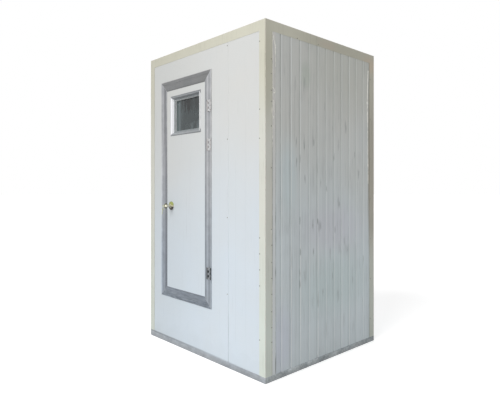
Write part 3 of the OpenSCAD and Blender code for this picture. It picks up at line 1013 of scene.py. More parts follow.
@dataclass(frozen=True)
class Extrusion(Finish):
    """Mill-finish aluminium section, with the shade and highlight of its folds painted on.

    The tones are painted shade and highlight, given as (millimetres in from the member's outer
    edge, screen colour), on the axis that crosses the member. Shadow bands, painted shade, are
    (millimetres in, width in millimetres, lowest and highest point). The mitres run at 45
    degrees from both ends and carry a painted highlight. Lower down the tones take a painted
    bluish reflection. Lean is how many millimetres the tones shift by towards the top.
    """

    name: str
    across: Axis
    edge: float
    inward: float
    ends: tuple[float, float]
    # mitre: strength of the painted highlight along the mitres; the stops below are painted shade
    # and highlight across the folds
    mitre: float
    fold_shading_stops: tuple[tuple[float, Point], ...]
    mottle: float = 0.22
    metallic: float = 0.3
    roughness: float = 0.45
    reach: float = 0.1
    # painted bluish reflection, multiplied in lower down
    cool: Colour = (0.774, 0.852, 0.925, 1.0)
    scuffed: float = 0.0
    lean: float = 0.0
    # painted shadow bands along the member
    shadow_bands: tuple[tuple[float, float, float, float], ...] = ()

    @property
    def along(self) -> Axis:
        """Gives the axis that the member runs along."""
        return Axis.Z if self.across is Axis.X else Axis.X

    def depth(self, g: Coat) -> Feed:
        """Gives how far a place is in from the member's outer edge."""
        return g.times(g.plus(g.at(self.across), -self.edge), self.inward)

    def tones(self, g: Coat) -> Feed:
        """Gives the painted shade and highlight across the folds, with a painted bluish reflection
        lower down.

        Args:
            g: The material's graph.

        Returns:
            The colour's socket.
        """
        away = g.times(g.plus(g.at(self.across), -self.edge), self.inward / self.reach)
        if self.lean:
            rise = g.span(g.at(Axis.Z), 1.1, 2.15)
            away = g.plus(away, g.times(rise, self.lean * MM / self.reach))
        waver = g.swing(g.noise(g.here, 12.0, 2.0), 0.03)
        stops = [(place * MM / self.reach, srgb(*tone)) for place, tone in self.fold_shading_stops]
        colour = g.ramp(g.plus(away, waver), stops)
        low = g.span(g.at(Axis.Z), 0.6, 1.7, 1.0, 0.0)
        return g.mix(low, colour, self.cool, "MULTIPLY")

    def scuffs(self, g: Coat, angle: float) -> Feed:
        """Gives the mask of scuffs at an angle, thickest along the outer edge.

        Args:
            g: The material's graph.
            angle: Their angle in degrees.

        Returns:
            The mask's socket, from 0 to 1.
        """
        turned = g.add("ShaderNodeMapping")
        g.put(turned.inputs["Vector"], g.here)
        turned.inputs["Rotation"].default_value = (0.0, math.radians(angle), 0.0)
        turned.inputs["Scale"].default_value = (9.0, 30.0, 62.0)
        strokes = g.span(g.noise(turned.outputs[0], 1.0, 3.0, 0.6), 0.48, 0.62)
        across = self.depth(g)
        return g.times(strokes, g.span(across, 0.0, self.reach * 0.7, 1.0, 0.45))

    def add_shadow_bands(self, g: Coat, colour: Feed) -> Feed:
        """Lays painted shadow bands along the member: place, width, lowest and highest point.

        Args:
            g: The material's graph.
            colour: The colour below.

        Returns:
            The streaked colour.
        """
        across = self.depth(g)
        height = g.at(Axis.Z)
        for place, width, low, high in self.shadow_bands:
            mask = g.near(across, place * MM, width * MM)
            mask = g.times(mask, g.between(height, low, high, 0.05))
            # painted shadow band
            colour = g.mix(g.times(mask, 0.5), colour, srgb(104, 104, 104))
        return colour

    def mitres(self, g: Coat) -> Feed:
        """Gives the mask of the two mitre joints.

        Args:
            g: The material's graph.

        Returns:
            The mask's socket, from 0 to 1.
        """
        across = self.depth(g)
        along = g.at(self.along)
        start = g.plus(along, -self.ends[0])
        end = g.math("SUBTRACT", self.ends[1], along)
        away = g.math("SUBTRACT", g.math("MINIMUM", start, end), across)
        return g.span(g.math("ABSOLUTE", away), 0.5 * MM, 2.5 * MM, 1.0, 0.0)

    def paint(self, g: Coat) -> None:
        """Lays the painted shade and highlight of the folds, drawing lines, oxide patches, painted
        shadow bands and the painted highlight of the mitres.

        Args:
            g: The material's graph.
        """
        stretch = (800.0, 800.0, 5.0) if self.across is Axis.X else (5.0, 800.0, 800.0)
        lines = g.effect(Effect.BRUSHING, Stretch=stretch)
        cloud = g.effect(Effect.CLOUDING, Per_Metre=16.0, Contrast=1.6)
        colour = self.tones(g)
        colour = g.mix(g.times(cloud, self.mottle), colour, srgb(108, 112, 116))
        colour = g.mix(g.times(g.span(lines, 0.45, 0.75), 0.16), colour, srgb(198, 200, 202))
        oxide = g.span(g.noise(g.here, 30.0, 5.0, 0.7), 0.58, 0.75)
        colour = g.mix(g.times(oxide, 0.25), colour, srgb(178, 182, 186))
        colour = self.add_shadow_bands(g, colour)
        if self.scuffed > 0:
            dark, light = self.scuffs(g, 28.0), self.scuffs(g, 12.0)
            colour = g.mix(g.times(light, self.scuffed * 0.6), colour, srgb(168, 176, 184))
            colour = g.mix(g.times(dark, self.scuffed), colour, srgb(84, 92, 102))
        # painted highlight along the mitre joints
        mitre = g.times(self.mitres(g), self.mitre)
        g.into("Base Color", g.mix(mitre, colour, srgb(214, 216, 218)))
        g.into("Metallic", self.metallic)
        g.into("Roughness", g.plus(self.roughness, g.times(cloud, 0.15)))
        g.bump(g.plus(g.times(lines, 0.05), g.noise(g.here, 16.0, 2.0)), 0.5 * MM)


@dataclass(frozen=True)
class WindowMetal(Finish):
    """The window frame: rails at top and bottom painted in shade, stiles painted lit, grey glass
    ring.
    """

    name: str
    middle: Point
    half_width: float
    half_height: float
    ring_face: float
    glass: float
    # One metal, painted lit or in shade by how each member faces the light: rails, their slope and
    # foot in shade, stiles lit. lit is a painted highlight line on the rails, edge a painted shadow
    # along the outer edge, and the colour after ring is painted light on the ring's inner side
    # against the shade of the recess.
    rail: Colour = srgb(136, 140, 143)
    rail_slope: Colour = srgb(132, 136, 139)
    foot: Colour = srgb(160, 164, 167)
    stile: Colour = srgb(246, 247, 250)
    far_stile: Colour = srgb(224, 225, 226)
    ring: Colour = srgb(142, 148, 150)
    lit_reveal: Colour = srgb(244, 245, 245)
    edge: Colour = srgb(112, 115, 118)
    lit: Colour = srgb(184, 187, 190)
    flange: float = 18 * MM
    # Where the painted shadow along the outer edge fades: beside a stile, beside a rail, at a
    # stile's ends
    stile_fade: tuple[float, float] = (5.0 * MM, 11.0 * MM)
    rail_fade: tuple[float, float] = (2.5 * MM, 7.5 * MM)
    end_fade: tuple[float, float] = (16 * MM, 34 * MM)
    roughness: float = 0.34

    def edge_shadow(self, g: Graph, away: Sequence[Feed], is_rail: Feed, far: Feed) -> Feed:
        """Gives the mask of the painted shadow along the outer edge: whole on the rails, at the far
        stile's ends.

        Args:
            g: The material's graph.
            away: Distances in from the frame's sides, and from its top and bottom.
            is_rail: 1 on the rails.
            far: 1 on the frame's far half.

        Returns:
            The mask's socket, from 0 to 1.
        """
        inward = g.math("MINIMUM", away[0], away[1])
        on_stile = g.span(inward, *self.stile_fade, 1.0, 0.0)
        on_rail = g.span(inward, *self.rail_fade, 1.0, 0.0)
        ends = g.span(away[1], *self.end_fade, 0.8, 0.0)
        stile = g.mix(far, grey(0.45), grey(0.0))
        stile = g.math("MAXIMUM", stile, g.times(far, ends))
        rails = g.times(g.times(on_rail, is_rail), 0.9)
        return g.math("MAXIMUM", rails, g.times(on_stile, stile))

    def paint(self, g: Coat) -> None:
        """Lays the painted light and shade of rails, stiles and glass ring, split at the mitres.

        Args:
            g: The material's graph.
        """
        away = []
        for axis, half in ((Axis.X, self.half_width), (Axis.Z, self.half_height)):
            off = g.math("ABSOLUTE", g.plus(g.at(axis), -self.middle[axis.value]))
            away.append(g.math("SUBTRACT", half, off))
        is_rail = g.math("LESS_THAN", away[1], away[0])
        inward = g.math("MINIMUM", away[0], away[1])
        sloped = g.span(inward, self.flange - 0.5 * MM, self.flange + 0.5 * MM)
        lower = g.math("LESS_THAN", g.at(Axis.Z), self.middle[2])
        far = g.math("GREATER_THAN", g.at(Axis.X), self.middle[0])
        # rails, their slope and their foot painted in shade
        rail = g.mix(lower, g.mix(sloped, self.rail, self.rail_slope), self.foot)
        # painted highlight line along the rails
        rail = g.mix(g.times(g.near(inward, 13 * MM, 4 * MM), 0.25), rail, self.lit)
        colour = g.mix(is_rail, g.mix(far, self.stile, self.far_stile), rail)
        # painted shadow along the outer edge
        colour = g.mix(self.edge_shadow(g, away, is_rail, far), colour, self.edge)
        depth = g.at(Axis.Y)
        deep = g.math("GREATER_THAN", depth, self.ring_face)
        inside = g.math("GREATER_THAN", depth, self.ring_face + 1 * MM)
        inside = g.times(inside, g.math("LESS_THAN", depth, self.glass))
        # the ring's inner side is painted bright against the shade of the recess
        colour = g.mix(deep, colour, g.mix(inside, self.ring, self.lit_reveal))
        cloud = g.effect(Effect.CLOUDING, Per_Metre=26.0, Contrast=1.7)
        dull = g.most([is_rail, deep, far])
        colour = g.mix(g.times(g.times(cloud, dull), 0.2), colour, srgb(112, 116, 118))
        g.into("Base Color", colour)
        g.into("Metallic", g.mix(dull, grey(0.6), grey(0.2)))
        g.into("Roughness", g.plus(self.roughness, g.times(cloud, 0.14)))
        lines = g.effect(Effect.BRUSHING, Stretch=(40.0, 700.0, 40.0))
        g.bump(lines, 0.05 * MM)


@dataclass(frozen=True)
class DirtyGlass(Finish):
    """Grey-green pane, paler on its left, with dark drips from its top."""

    name: str
    low: Point
    high: Point
    body: Colour = srgb(60, 70, 72)
    mist: Colour = srgb(112, 124, 126)
    drip: Colour = srgb(26, 32, 34)

    def paint(self, g: Coat) -> None:
        """Lays the tint, the misted left side and foot, and the drips.

        Args:
            g: The material's graph.
        """
        rise = g.span(g.at(Axis.Z), self.low[2], self.high[2])
        across = g.span(g.at(Axis.X), self.low[0], self.high[0])
        cloud = g.effect(Effect.CLOUDING, Per_Metre=8.0, Contrast=1.6)
        left = g.span(g.plus(across, g.times(cloud, 0.12)), 0.0, 0.42, 1.0, 0.0)
        left = g.times(left, g.span(rise, 0.0, 0.5, 0.4, 0.6))
        left = g.most([left, g.span(across, 0.02, 0.16, 1.3, 0.0)])
        foot = g.span(g.plus(rise, g.times(cloud, 0.2)), 0.02, 0.34, 0.9, 0.0)
        foot = g.times(foot, g.span(across, 0.1, 0.7, 0.25, 1.0))
        wiped = g.noise(g.scaled(g.here, (46.0, 46.0, 9.0)), 1.0, 3.0, 0.6)
        haze = g.most([left, g.times(foot, g.span(wiped, 0.38, 0.55)), g.times(cloud, 0.18)])
        colour = g.mix(haze, self.body, self.mist)
        lines = g.noise(g.scaled(g.here, (44.0, 44.0, 7.0)), 1.0, 3.0, 0.6)
        reach = g.plus(rise, g.swing(lines, 2.4))
        drips = g.times(g.span(reach, 0.72, 0.79), g.span(across, 0.08, 0.2))
        drips = g.times(drips, g.span(across, 0.5, 0.7, 1.0, 0.5))
        colour = g.mix(drips, colour, self.drip)
        g.into("Base Color", colour)
        g.into("Transmission Weight", 0.35)
        g.into("IOR", 1.5)
        g.into("Roughness", g.plus(0.1, g.times(cloud, 0.2)))
        g.bump(lines, 0.08 * MM)


@dataclass(frozen=True)
class Brass(Finish):
    """Polished brass, tarnished in patches, with a painted highlight belt, on the rosette also a
    painted highlight disc, and painted shade and reflection above and below the belt.
    """

    name: str
    bright: Colour
    dull: Colour
    tarnish: float = 0.5
    metallic: float = 0.7
    roughness: float = 0.26
    # middle, belt, disc, above and below lay painted light: a highlight belt and disc, painted
    # shade and reflection above and below
    middle: Point = (0.0, 0.0, 0.0)
    belt: float = 0.0
    disc: float = 0.0
    above: Colour = srgb(97, 97, 81)
    below: Colour = srgb(97, 97, 81)

    def lit_and_shaded_zones(self, g: Coat) -> Feed:
        """Gives the painted highlight of the belt and the disc, and the painted shade and
        reflection above and below the belt.

        Args:
            g: The material's graph.

        Returns:
            The colour.
        """
        if not self.belt:
            return self.bright
        rise = g.plus(g.at(Axis.Z), -self.middle[2])
        upper = g.span(rise, self.belt * 0.6, self.belt * 1.4)
        lower = g.span(rise, -self.belt * 1.4, -self.belt * 0.6, 1.0, 0.0)
        colour = g.mix(lower, g.mix(upper, self.bright, self.above), self.below)
        if self.disc:
            off = g.plus(g.at(Axis.X), -self.middle[0])
            far = g.math("SQRT", g.plus(g.times(off, off), g.times(rise, rise)))
            disc = g.span(far, self.disc * 0.8, self.disc * 1.2, 1.0, 0.0)
            colour = g.mix(disc, colour, self.bright)
        return colour

    def paint(self, g: Coat) -> None:
        """Lays the metal and its tarnish.

        Args:
            g: The material's graph.
        """
        cloud = g.effect(Effect.CLOUDING, Per_Metre=34.0, Contrast=2.0)
        specks = g.effect(Effect.SPECKS, Per_Metre=420.0, Cover=0.5)
        stain = g.math("MAXIMUM", g.times(cloud, self.tarnish), g.times(specks, 0.5))
        g.into("Base Color", g.mix(stain, self.lit_and_shaded_zones(g), self.dull))
        g.into("Metallic", self.metallic)
        g.into("Roughness", g.plus(self.roughness, g.times(stain, 0.35)))
        g.bump(g.noise(g.here, 300.0, 3.0), 0.06 * MM)


@dataclass(frozen=True)
class PlatedSteel(Finish):
    """Zinc-plated steel with rust in patches."""

    name: str
    plate: Colour
    rust: Colour = srgb(122, 92, 78)
    rusted: float = 0.3
    low_tone: Colour = srgb(74, 82, 86)
    low_until: float = -1.0
    metallic: float = 0.6
    roughness: float = 0.38

    def paint(self, g: Coat) -> None:
        """Lays the plating, a darker coat on the lowest hinge, and rust.

        Args:
            g: The material's graph.
        """
        cloud = g.effect(Effect.CLOUDING, Per_Metre=40.0, Contrast=1.8)
        colour: Feed = self.plate
        if self.low_until > 0:
            low = g.math("LESS_THAN", g.at(Axis.Z), self.low_until)
            colour = g.mix(low, self.plate, self.low_tone)
        colour = g.mix(g.times(cloud, 0.3), colour, shade(self.plate, 0.6))
        spots = g.span(g.noise(g.here, 95.0, 4.0, 0.65), 0.6 - self.rusted * 0.25, 0.68)
        colour = g.mix(g.times(spots, self.rusted * 1.6), colour, self.rust)
        g.into("Base Color", colour)
        g.into("Metallic", self.metallic)
        g.into("Roughness", g.plus(self.roughness, g.times(spots, 0.35)))
        g.bump(g.noise(g.here, 240.0, 3.0), 0.1 * MM)


@dataclass(frozen=True)
class HingeSteel(Finish):
    """Hinge plates and knuckles: a painted highlight strip and painted shade beside the knuckles,
    rusty edges, a dark lowest hinge.
    """

    name: str
    axis: float
    middles: tuple[float, ...]
    half_height: float = 45 * MM
    knuckle: float = 9 * MM
    plate_end: float = 26.5 * MM
    step: float = 18 * MM
    lit_span: tuple[float, float] = (2.0 * MM, 13.5 * MM)
    set_back: float = 4.5 * MM
    rim: float = 3.5 * MM
    knuckle_rim: float = 2.2 * MM
    # lit and dark_lit are painted highlights; dull is painted shade beside the knuckles
    plate: Colour = srgb(190, 188, 188)
    lit: Colour = srgb(232, 233, 234)
    dull: Colour = srgb(138, 134, 132)
    rust: Colour = srgb(108, 103, 101)
    dark_plate: Colour = srgb(48, 52, 56)
    dark_lit: Colour = srgb(176, 180, 184)
    dark_rust: Colour = srgb(52, 47, 44)

    def highlight_strip(self, g: Coat) -> Feed:
        """Gives the mask of the painted highlight strip, set back beside every second knuckle.

        Args:
            g: The material's graph.

        Returns:
            The mask's socket, from 0 to 1.
        """
        height = g.at(Axis.Z)
        odd = []
        for middle in self.middles:
            for side in (-1, 1):
                off = g.math("ABSOLUTE", g.plus(height, -(middle + side * self.step)))
                odd.append(g.math("LESS_THAN", off, self.step / 2))
        place = g.plus(g.at(Axis.X), -self.axis)
        back = g.times(g.most(odd), self.set_back)
        start, end = self.lit_span
        inner = g.math("GREATER_THAN", place, g.plus(start, back))
        return g.times(inner, g.math("LESS_THAN", place, g.plus(end, back)))

    def edges(self, g: Coat) -> Feed:
        """Gives the mask of the outlines of plates and knuckles.

        Args:
            g: The material's graph.

        Returns:
            The mask's socket, from 0 to 1.
        """
        height = g.at(Axis.Z)
        away = g.math("ABSOLUTE", g.plus(g.at(Axis.X), -self.axis))
        masks = [
            g.near(away, self.plate_end, self.rim),
            g.near(away, self.knuckle, self.knuckle_rim),
        ]
        for middle in self.middles:
            for end in (-self.half_height, self.half_height):
                masks.append(g.near(height, middle + end, self.rim))
        patchy = g.span(g.noise(g.here, 90.0, 3.0, 0.6), 0.3, 0.55)
        side = g.span(g.at(Axis.X), self.axis, self.axis + self.knuckle, 1.0, 0.35)
        return g.times(g.times(g.most(masks), patchy), side)

    def paint(self, g: Coat) -> None:
        """Lays plates, the painted shade beside the knuckles, the painted highlight strip and the
        rust along their edges.

        Args:
            g: The material's graph.
        """
        height = g.at(Axis.Z)
        lowest = g.math("LESS_THAN", height, self.middles[0] + 2 * self.half_height)
        plate = g.mix(lowest, self.plate, self.dark_plate)
        place = g.plus(g.at(Axis.X), -self.axis)
        # painted shade beside the knuckles
        knuckle = g.between(place, -self.knuckle, 3 * MM, 1.5 * MM)
        knuckle = g.times(knuckle, g.span(lowest, 0.0, 1.0, 1.0, 0.0))
        plate = g.mix(knuckle, plate, self.dull)
        # painted highlight strip
        colour = g.mix(self.highlight_strip(g), plate, g.mix(lowest, self.lit, self.dark_lit))
        rust = g.mix(lowest, self.rust, self.dark_rust)
        worn = g.times(self.edges(g), g.span(lowest, 0.0, 1.0, 0.95, 0.2))
        colour = g.mix(worn, colour, rust)
        corner = g.times(
            g.near(g.at(Axis.X), self.axis - self.plate_end, 12 * MM),
            g.near(height, self.middles[-1] + self.half_height, 14 * MM),
        )
        colour = g.mix(corner, colour, srgb(70, 66, 66))
        spots = g.span(g.noise(g.here, 150.0, 4.0, 0.65), 0.56, 0.68)
        colour = g.mix(g.times(spots, 0.4), colour, rust)
        g.into("Base Color", colour)
        g.into("Metallic", 0.25)
        g.into("Roughness", g.plus(0.42, g.times(worn, 0.35)))
        g.bump(g.noise(g.here, 240.0, 3.0), 0.1 * MM)


@dataclass(frozen=True)
class Board(Finish):
    """Matt grey floor board with a fine grain and foot dirt."""

    name: str
    tone: Colour
    dirt: Colour = srgb(104, 98, 90)

    def paint(self, g: Coat) -> None:
        """Lays the board, its grain and the dirt of feet.

        Args:
            g: The material's graph.
        """
        grain = g.noise(g.here, 240.0, 4.0, 0.7)
        cloud = g.effect(Effect.CLOUDING, Per_Metre=4.0, Contrast=1.6)
        specks = g.effect(Effect.SPECKS, Per_Metre=90.0, Cover=0.4)
        colour = g.mix(g.times(grain, 0.25), self.tone, shade(self.tone, 0.7))
        soil = g.math("MAXIMUM", g.times(cloud, 0.35), g.times(specks, 0.3))
        g.into("Base Color", g.mix(soil, colour, self.dirt))
        g.into("Roughness", g.plus(0.62, g.times(cloud, 0.15)))
        g.bump(grain, 0.25 * MM)


@dataclass(frozen=True)
class Moulded(Finish):
    """Rubber or silicone: one body colour, dusty in patches."""

    name: str
    tone: Colour
    dust: Colour
    dusty: float = 0.3
    roughness: float = 0.5
    washes: tuple[Wash, ...] = ()

    def paint(self, g: Coat) -> None:
        """Lays the body colour and the dust.

        Args:
            g: The material's graph.
        """
        cloud = g.effect(Effect.CLOUDING, Per_Metre=28.0, Contrast=1.7)
        grain = g.noise(g.here, 420.0, 3.0)
        colour = g.mix(g.times(cloud, self.dusty), self.tone, self.dust)
        g.into("Base Color", self.washed(g, colour))
        g.into("Roughness", g.plus(self.roughness, g.times(grain, 0.15)))
        g.bump(grain, 0.12 * MM)


# ---------------------------------------------------------------- modelling steps


class Bench:
    """Modelling steps that the sub-assemblies share."""

    @staticmethod
    def clear() -> None:
        """Leaves edit mode and deselects everything."""
        if bpy.context.object is not None and bpy.context.object.mode != "OBJECT":
            bpy.ops.object.mode_set(mode="OBJECT")
        bpy.ops.object.select_all(action="DESELECT")

    @staticmethod
    def take(piece: Piece) -> None:
        """Makes a piece the only selected and active one.

        Args:
            piece: The object.
        """
        Bench.clear()
        piece.select_set(True)
        bpy.context.view_layer.objects.active = piece

    @staticmethod
    def cube(name: str, low: Point, high: Point) -> Piece:
        """Adds a cube between two corners.

        Args:
            name: Name of the new piece.
            low: Lowest corner.
            high: Highest corner.

        Returns:
            The new object, selected.
        """
        Bench.clear()
        size = [b - a for a, b in zip(low, high)]
        middle = [(a + b) / 2 for a, b in zip(low, high)]
        bpy.ops.mesh.primitive_cube_add(size=1, location=middle, scale=size)
        piece = bpy.context.object
        piece.name = name
        bpy.ops.object.transform_apply(location=True, rotation=True, scale=True)
        return piece

    @staticmethod
    def disc(name: str, radius: float, thick: float, sides: int) -> Piece:
        """Adds a disc at the origin that faces +Z from its base at zero.

        Args:
            name: Name of the new piece.
            radius: Its radius.
            thick: Its thickness.
            sides: Number of sides.

        Returns:
            The new object, selected.
        """
        Bench.clear()
        bpy.ops.mesh.primitive_cylinder_add(
            vertices=sides, radius=radius, depth=thick, location=(0, 0, thick / 2)
        )
        piece = bpy.context.object
        piece.name = name
        bpy.ops.object.transform_apply(location=True, rotation=True, scale=True)
        return piece

    @staticmethod
    def edit(piece: Piece, kind: str) -> bmesh.types.BMesh:
        """Enters edit mode with nothing selected, and gives the mesh.

        Args:
            piece: The object.
            kind: FACE or EDGE.

        Returns:
            The mesh in edit mode.
        """
        Bench.take(piece)
        bpy.ops.object.mode_set(mode="EDIT")
        bpy.ops.mesh.select_mode(type=kind)
        bpy.ops.mesh.select_all(action="DESELECT")
        return bmesh.from_edit_mesh(piece.data)

    @staticmethod
    def faces(piece: Piece, wanted: Pick) -> None:
        """Enters edit mode with only some faces selected.

        Args:
            piece: The object to edit.
            wanted: Says from a face's centre and normal whether it is selected.
        """
        for face in Bench.edit(piece, "FACE").faces:
            face.select_set(wanted(face.calc_center_median(), face.normal))
        bmesh.update_edit_mesh(piece.data)

    @staticmethod
    def round_edges(piece: Piece, wanted: Pick, offset: float, segments: int) -> None:
        """Bevels some edges.

        Args:
            piece: The object to edit.
            wanted: Says from an edge's two ends whether it is bevelled.
            offset: Width of the bevel.
            segments: Its number of steps.
        """
        for edge in Bench.edit(piece, "EDGE").edges:
            edge.select_set(wanted(edge.verts[0].co, edge.verts[1].co))
        bmesh.update_edit_mesh(piece.data)
        bpy.ops.mesh.bevel(offset=offset, segments=segments, affect="EDGES")
        bpy.ops.object.mode_set(mode="OBJECT")

    @staticmethod
    def carve(piece: Piece, tool: Piece) -> None:
        """Cuts a tool's shape out of a piece and removes the tool.

        Args:
            piece: The object.
            tool: The object that cuts.
        """
        Bench.take(piece)
        opening = piece.modifiers.new("opening", "BOOLEAN")
        opening.operation = "DIFFERENCE"
        opening.object = tool
        opening.solver = "EXACT"
        bpy.ops.object.modifier_apply(modifier=opening.name)
        Bench.scrap(tool)

    @staticmethod
    def join(pieces: Sequence[Piece]) -> Piece:
        """Joins some pieces into the first one and gives that one.

        Args:
            pieces: The objects.

        Returns:
            The joined object.
        """
        Bench.clear()
        for piece in pieces:
            piece.select_set(True)
        bpy.context.view_layer.objects.active = pieces[0]
        if len(pieces) > 1:
            bpy.ops.object.join()
        return pieces[0]

    @staticmethod
    def soften(piece: Piece, width: float, segments: int = 2) -> None:
        """Rounds a piece's sharp edges with an applied bevel modifier.

        Args:
            piece: The object.
            width: Width of the rounding.
            segments: Its number of steps.
        """
        Bench.take(piece)
        bevel = piece.modifiers.new("soft_edges", "BEVEL")
        bevel.width = width
        bevel.segments = segments
        bevel.limit_method = "ANGLE"
        bpy.ops.object.modifier_apply(modifier=bevel.name)

    @staticmethod
    def ring(name: str, low: Point, high: Point, width: float, bevel: float) -> Piece:
        """Makes a rectangular ring that lies in the XZ plane.

        Args:
            name: Name of the new piece.
            low: Lowest outer corner.
            high: Highest outer corner.
            width: Visible width of the ring's members.
            bevel: Rounding of its edges.

        Returns:
            The ring.
        """
        piece = Bench.cube(name, low, high)
        Bench.faces(piece, lambda centre, normal: abs(normal.y) > 0.9)
        bpy.ops.mesh.inset(thickness=width, depth=0, use_individual=True)
        bpy.ops.mesh.bridge_edge_loops()
        bpy.ops.mesh.select_all(action="SELECT")
        bpy.ops.mesh.normals_make_consistent(inside=False)
        bpy.ops.object.mode_set(mode="OBJECT")
        Bench.soften(piece, bevel)
        return piece

    @staticmethod
    def copies(
        master: Piece, name: str, places: Sequence[Matrix]
    ) -> Piece:
        """Copies a piece to each place and joins the copies into one row.

        Args:
            master: The piece modelled once, at the origin.
            name: Name of the row.
            places: Where each copy goes.

        Returns:
            The row, with its place in its mesh.
        """
        row = []
        for place in places:
            copy = master.copy()
            copy.data = master.data.copy()
            copy.data.transform(place)
            bpy.context.scene.collection.objects.link(copy)
            row.append(copy)
        joined = Bench.join(row)
        joined.name = name
        return joined

    @staticmethod
    def scrap(piece: Piece) -> None:
        """Removes a piece that only served as a master."""
        bpy.data.objects.remove(piece, do_unlink=True)

    @staticmethod
    def hand_over(
        piece: Piece, finish: Finish, slot: str, body: str, smooth: float = 35.0
    ) -> Piece:
        """Gives a finished piece its material and body.

        Args:
            piece: The finished piece, with its place in its mesh.
            finish: What it wears.
            slot: The record's material slot; not used.
            body: The body that it rides on.
            smooth: Edges flatter than this many degrees are shaded smooth.

        Returns:
            The piece.
        """
        Bench.take(piece)
        bpy.ops.object.transform_apply(location=True, rotation=True, scale=True)
        bpy.ops.object.shade_smooth_by_angle(angle=math.radians(smooth))
        piece.data.materials.clear()
        piece.data.materials.append(finish.material())
        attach(piece, body)
        log.info("%s rides on %s, %d faces", piece.name, body, len(piece.data.polygons))
        return piece


def facing(place: Point, out: Point) -> Matrix:
    """Gives the matrix that stands a +Z piece on a surface.

    Args:
        place: Where the piece's base goes.
        out: The surface's outward direction.

    Returns:
        The matrix.
    """
    turn = Vector(out).to_track_quat("Z", "Y").to_matrix().to_4x4()
    return Matrix.Translation(place) @ turn


def dress(nodes: Nodes, names: Sequence[str], finish: Finish) -> None:
    """Gives carried-over nodes a finish.

    Args:
        nodes: The frame's nodes by name.
        names: Which nodes.
        finish: What they wear.
    """
    for name in names:
        for place in nodes[name].material_slots:
            place.material = finish.material()
        log.info("%s wears %s", name, finish.name)


# ---------------------------------------------------------------- studio


@dataclass
class Studio:
    """Camera, floor, lamps and world."""

    lens: float = 33.57
    shift: float = -0.024
    camera_place: Point = (2.931, -2.866, 1.313)
    heading: Point = (-0.7302, 0.6833, 0.0)
    sky_level: float = 0.40
    key_level: float = 0.58
    key_from: Point = (0.0, -0.80, 0.60)
    fill_level: float = 0.20
    fill_from: Point = (-0.75, 0.55, 0.35)
    floor_tone: float = 0.80
    floor_glow: float = 0.55
    floor_size: float = 160.0
    floor_sunk: float = 0.5 * MM
    sensor: float = 36.0
    far_clip: float = 200.0
    key_spread: float = 40.0
    fill_spread: float = 50.0

    def camera(self) -> None:
        """Adds the camera, level and with a slight shift."""
        data = bpy.data.cameras.new("camera")
        data.lens = self.lens
        data.sensor_width = self.sensor
        data.shift_y = self.shift
        data.clip_end = self.far_clip
        camera = bpy.data.objects.new("camera", data)
        camera.location = self.camera_place
        camera.rotation_mode = "QUATERNION"
        camera.rotation_quaternion = Vector(self.heading).to_track_quat("-Z", "Y")
        bpy.context.scene.collection.objects.link(camera)
        bpy.context.scene.camera = camera

    def seen(self, g: Graph) -> Feed:
        """Gives 1 for rays that show the background itself or in gloss and glass.

        Args:
            g: The graph to add to.

        Returns:
            The mask's socket, from 0 to 1.
        """
        path = g.add("ShaderNodeLightPath")
        return g.most(
            [path.outputs[n] for n in ("Is Camera Ray", "Is Glossy Ray", "Is Transmission Ray")]
        )

    def world(self) -> None:
        """Makes an even world that looks white and lights at its own level."""
        world = bpy.data.worlds.new("studio")
        bpy.context.scene.world = world
        g = empty_graph(world)
        lit = g.add("ShaderNodeBackground")
        lit.inputs["Strength"].default_value = self.sky_level
        white = g.add("ShaderNodeBackground")
        white.inputs["Color"].default_value = grey(1.0)
        lit.inputs["Color"].default_value = grey(1.0)
        both = g.add("ShaderNodeMixShader")
        g.put(both.inputs[0], self.seen(g))
        g.put(both.inputs[1], lit.outputs[0])
        g.put(both.inputs[2], white.outputs[0])
        g.put(g.add("ShaderNodeOutputWorld").inputs[0], both.outputs[0])

    def floor(self) -> None:
        """Lays the pale floor, which looks white but keeps the shadow."""
        Bench.clear()
        place = (0, 0, -self.floor_sunk)
        bpy.ops.mesh.primitive_plane_add(size=self.floor_size, location=place)
        floor = bpy.context.object
        floor.name = "studio_floor"
        material = bpy.data.materials.new("studio_floor")
        g = empty_graph(material)
        pale = g.add("ShaderNodeBsdfDiffuse")
        pale.inputs["Color"].default_value = grey(self.floor_tone)
        glow = g.add("ShaderNodeEmission")
        g.put(glow.inputs["Strength"], g.times(self.seen(g), self.floor_glow))
        both = g.add("ShaderNodeAddShader")
        g.put(both.inputs[0], pale.outputs[0])
        g.put(both.inputs[1], glow.outputs[0])
        g.put(g.add("ShaderNodeOutputMaterial").inputs["Surface"], both.outputs[0])
        floor.data.materials.append(material)

    def lamp(self, name: str, level: float, source: Point, spread: float) -> None:
        """Adds a soft sun lamp.

        Args:
            name: Name of the lamp.
            level: Level that it lights a surface facing it to.
            source: Direction that the light comes from.
            spread: Its angle in degrees, which softens shadows.
        """
        data = bpy.data.lights.new(name, "SUN")
        data.energy = level * math.pi
        data.angle = math.radians(spread)
        lamp = bpy.data.objects.new(name, data)
        lamp.rotation_mode = "QUATERNION"
        lamp.rotation_quaternion = Vector(source).to_track_quat("Z", "Y")
        bpy.context.scene.collection.objects.link(lamp)

    def build(self) -> None:
        """Builds the studio and sets how colours are shown."""
        self.camera()
        self.world()
        self.floor()
        self.lamp("key", self.key_level, self.key_from, self.key_spread)
        self.lamp("fill", self.fill_level, self.fill_from, self.fill_spread)
        bpy.context.scene.view_settings.view_transform = "Standard"


# ---------------------------------------------------------------- the cabin


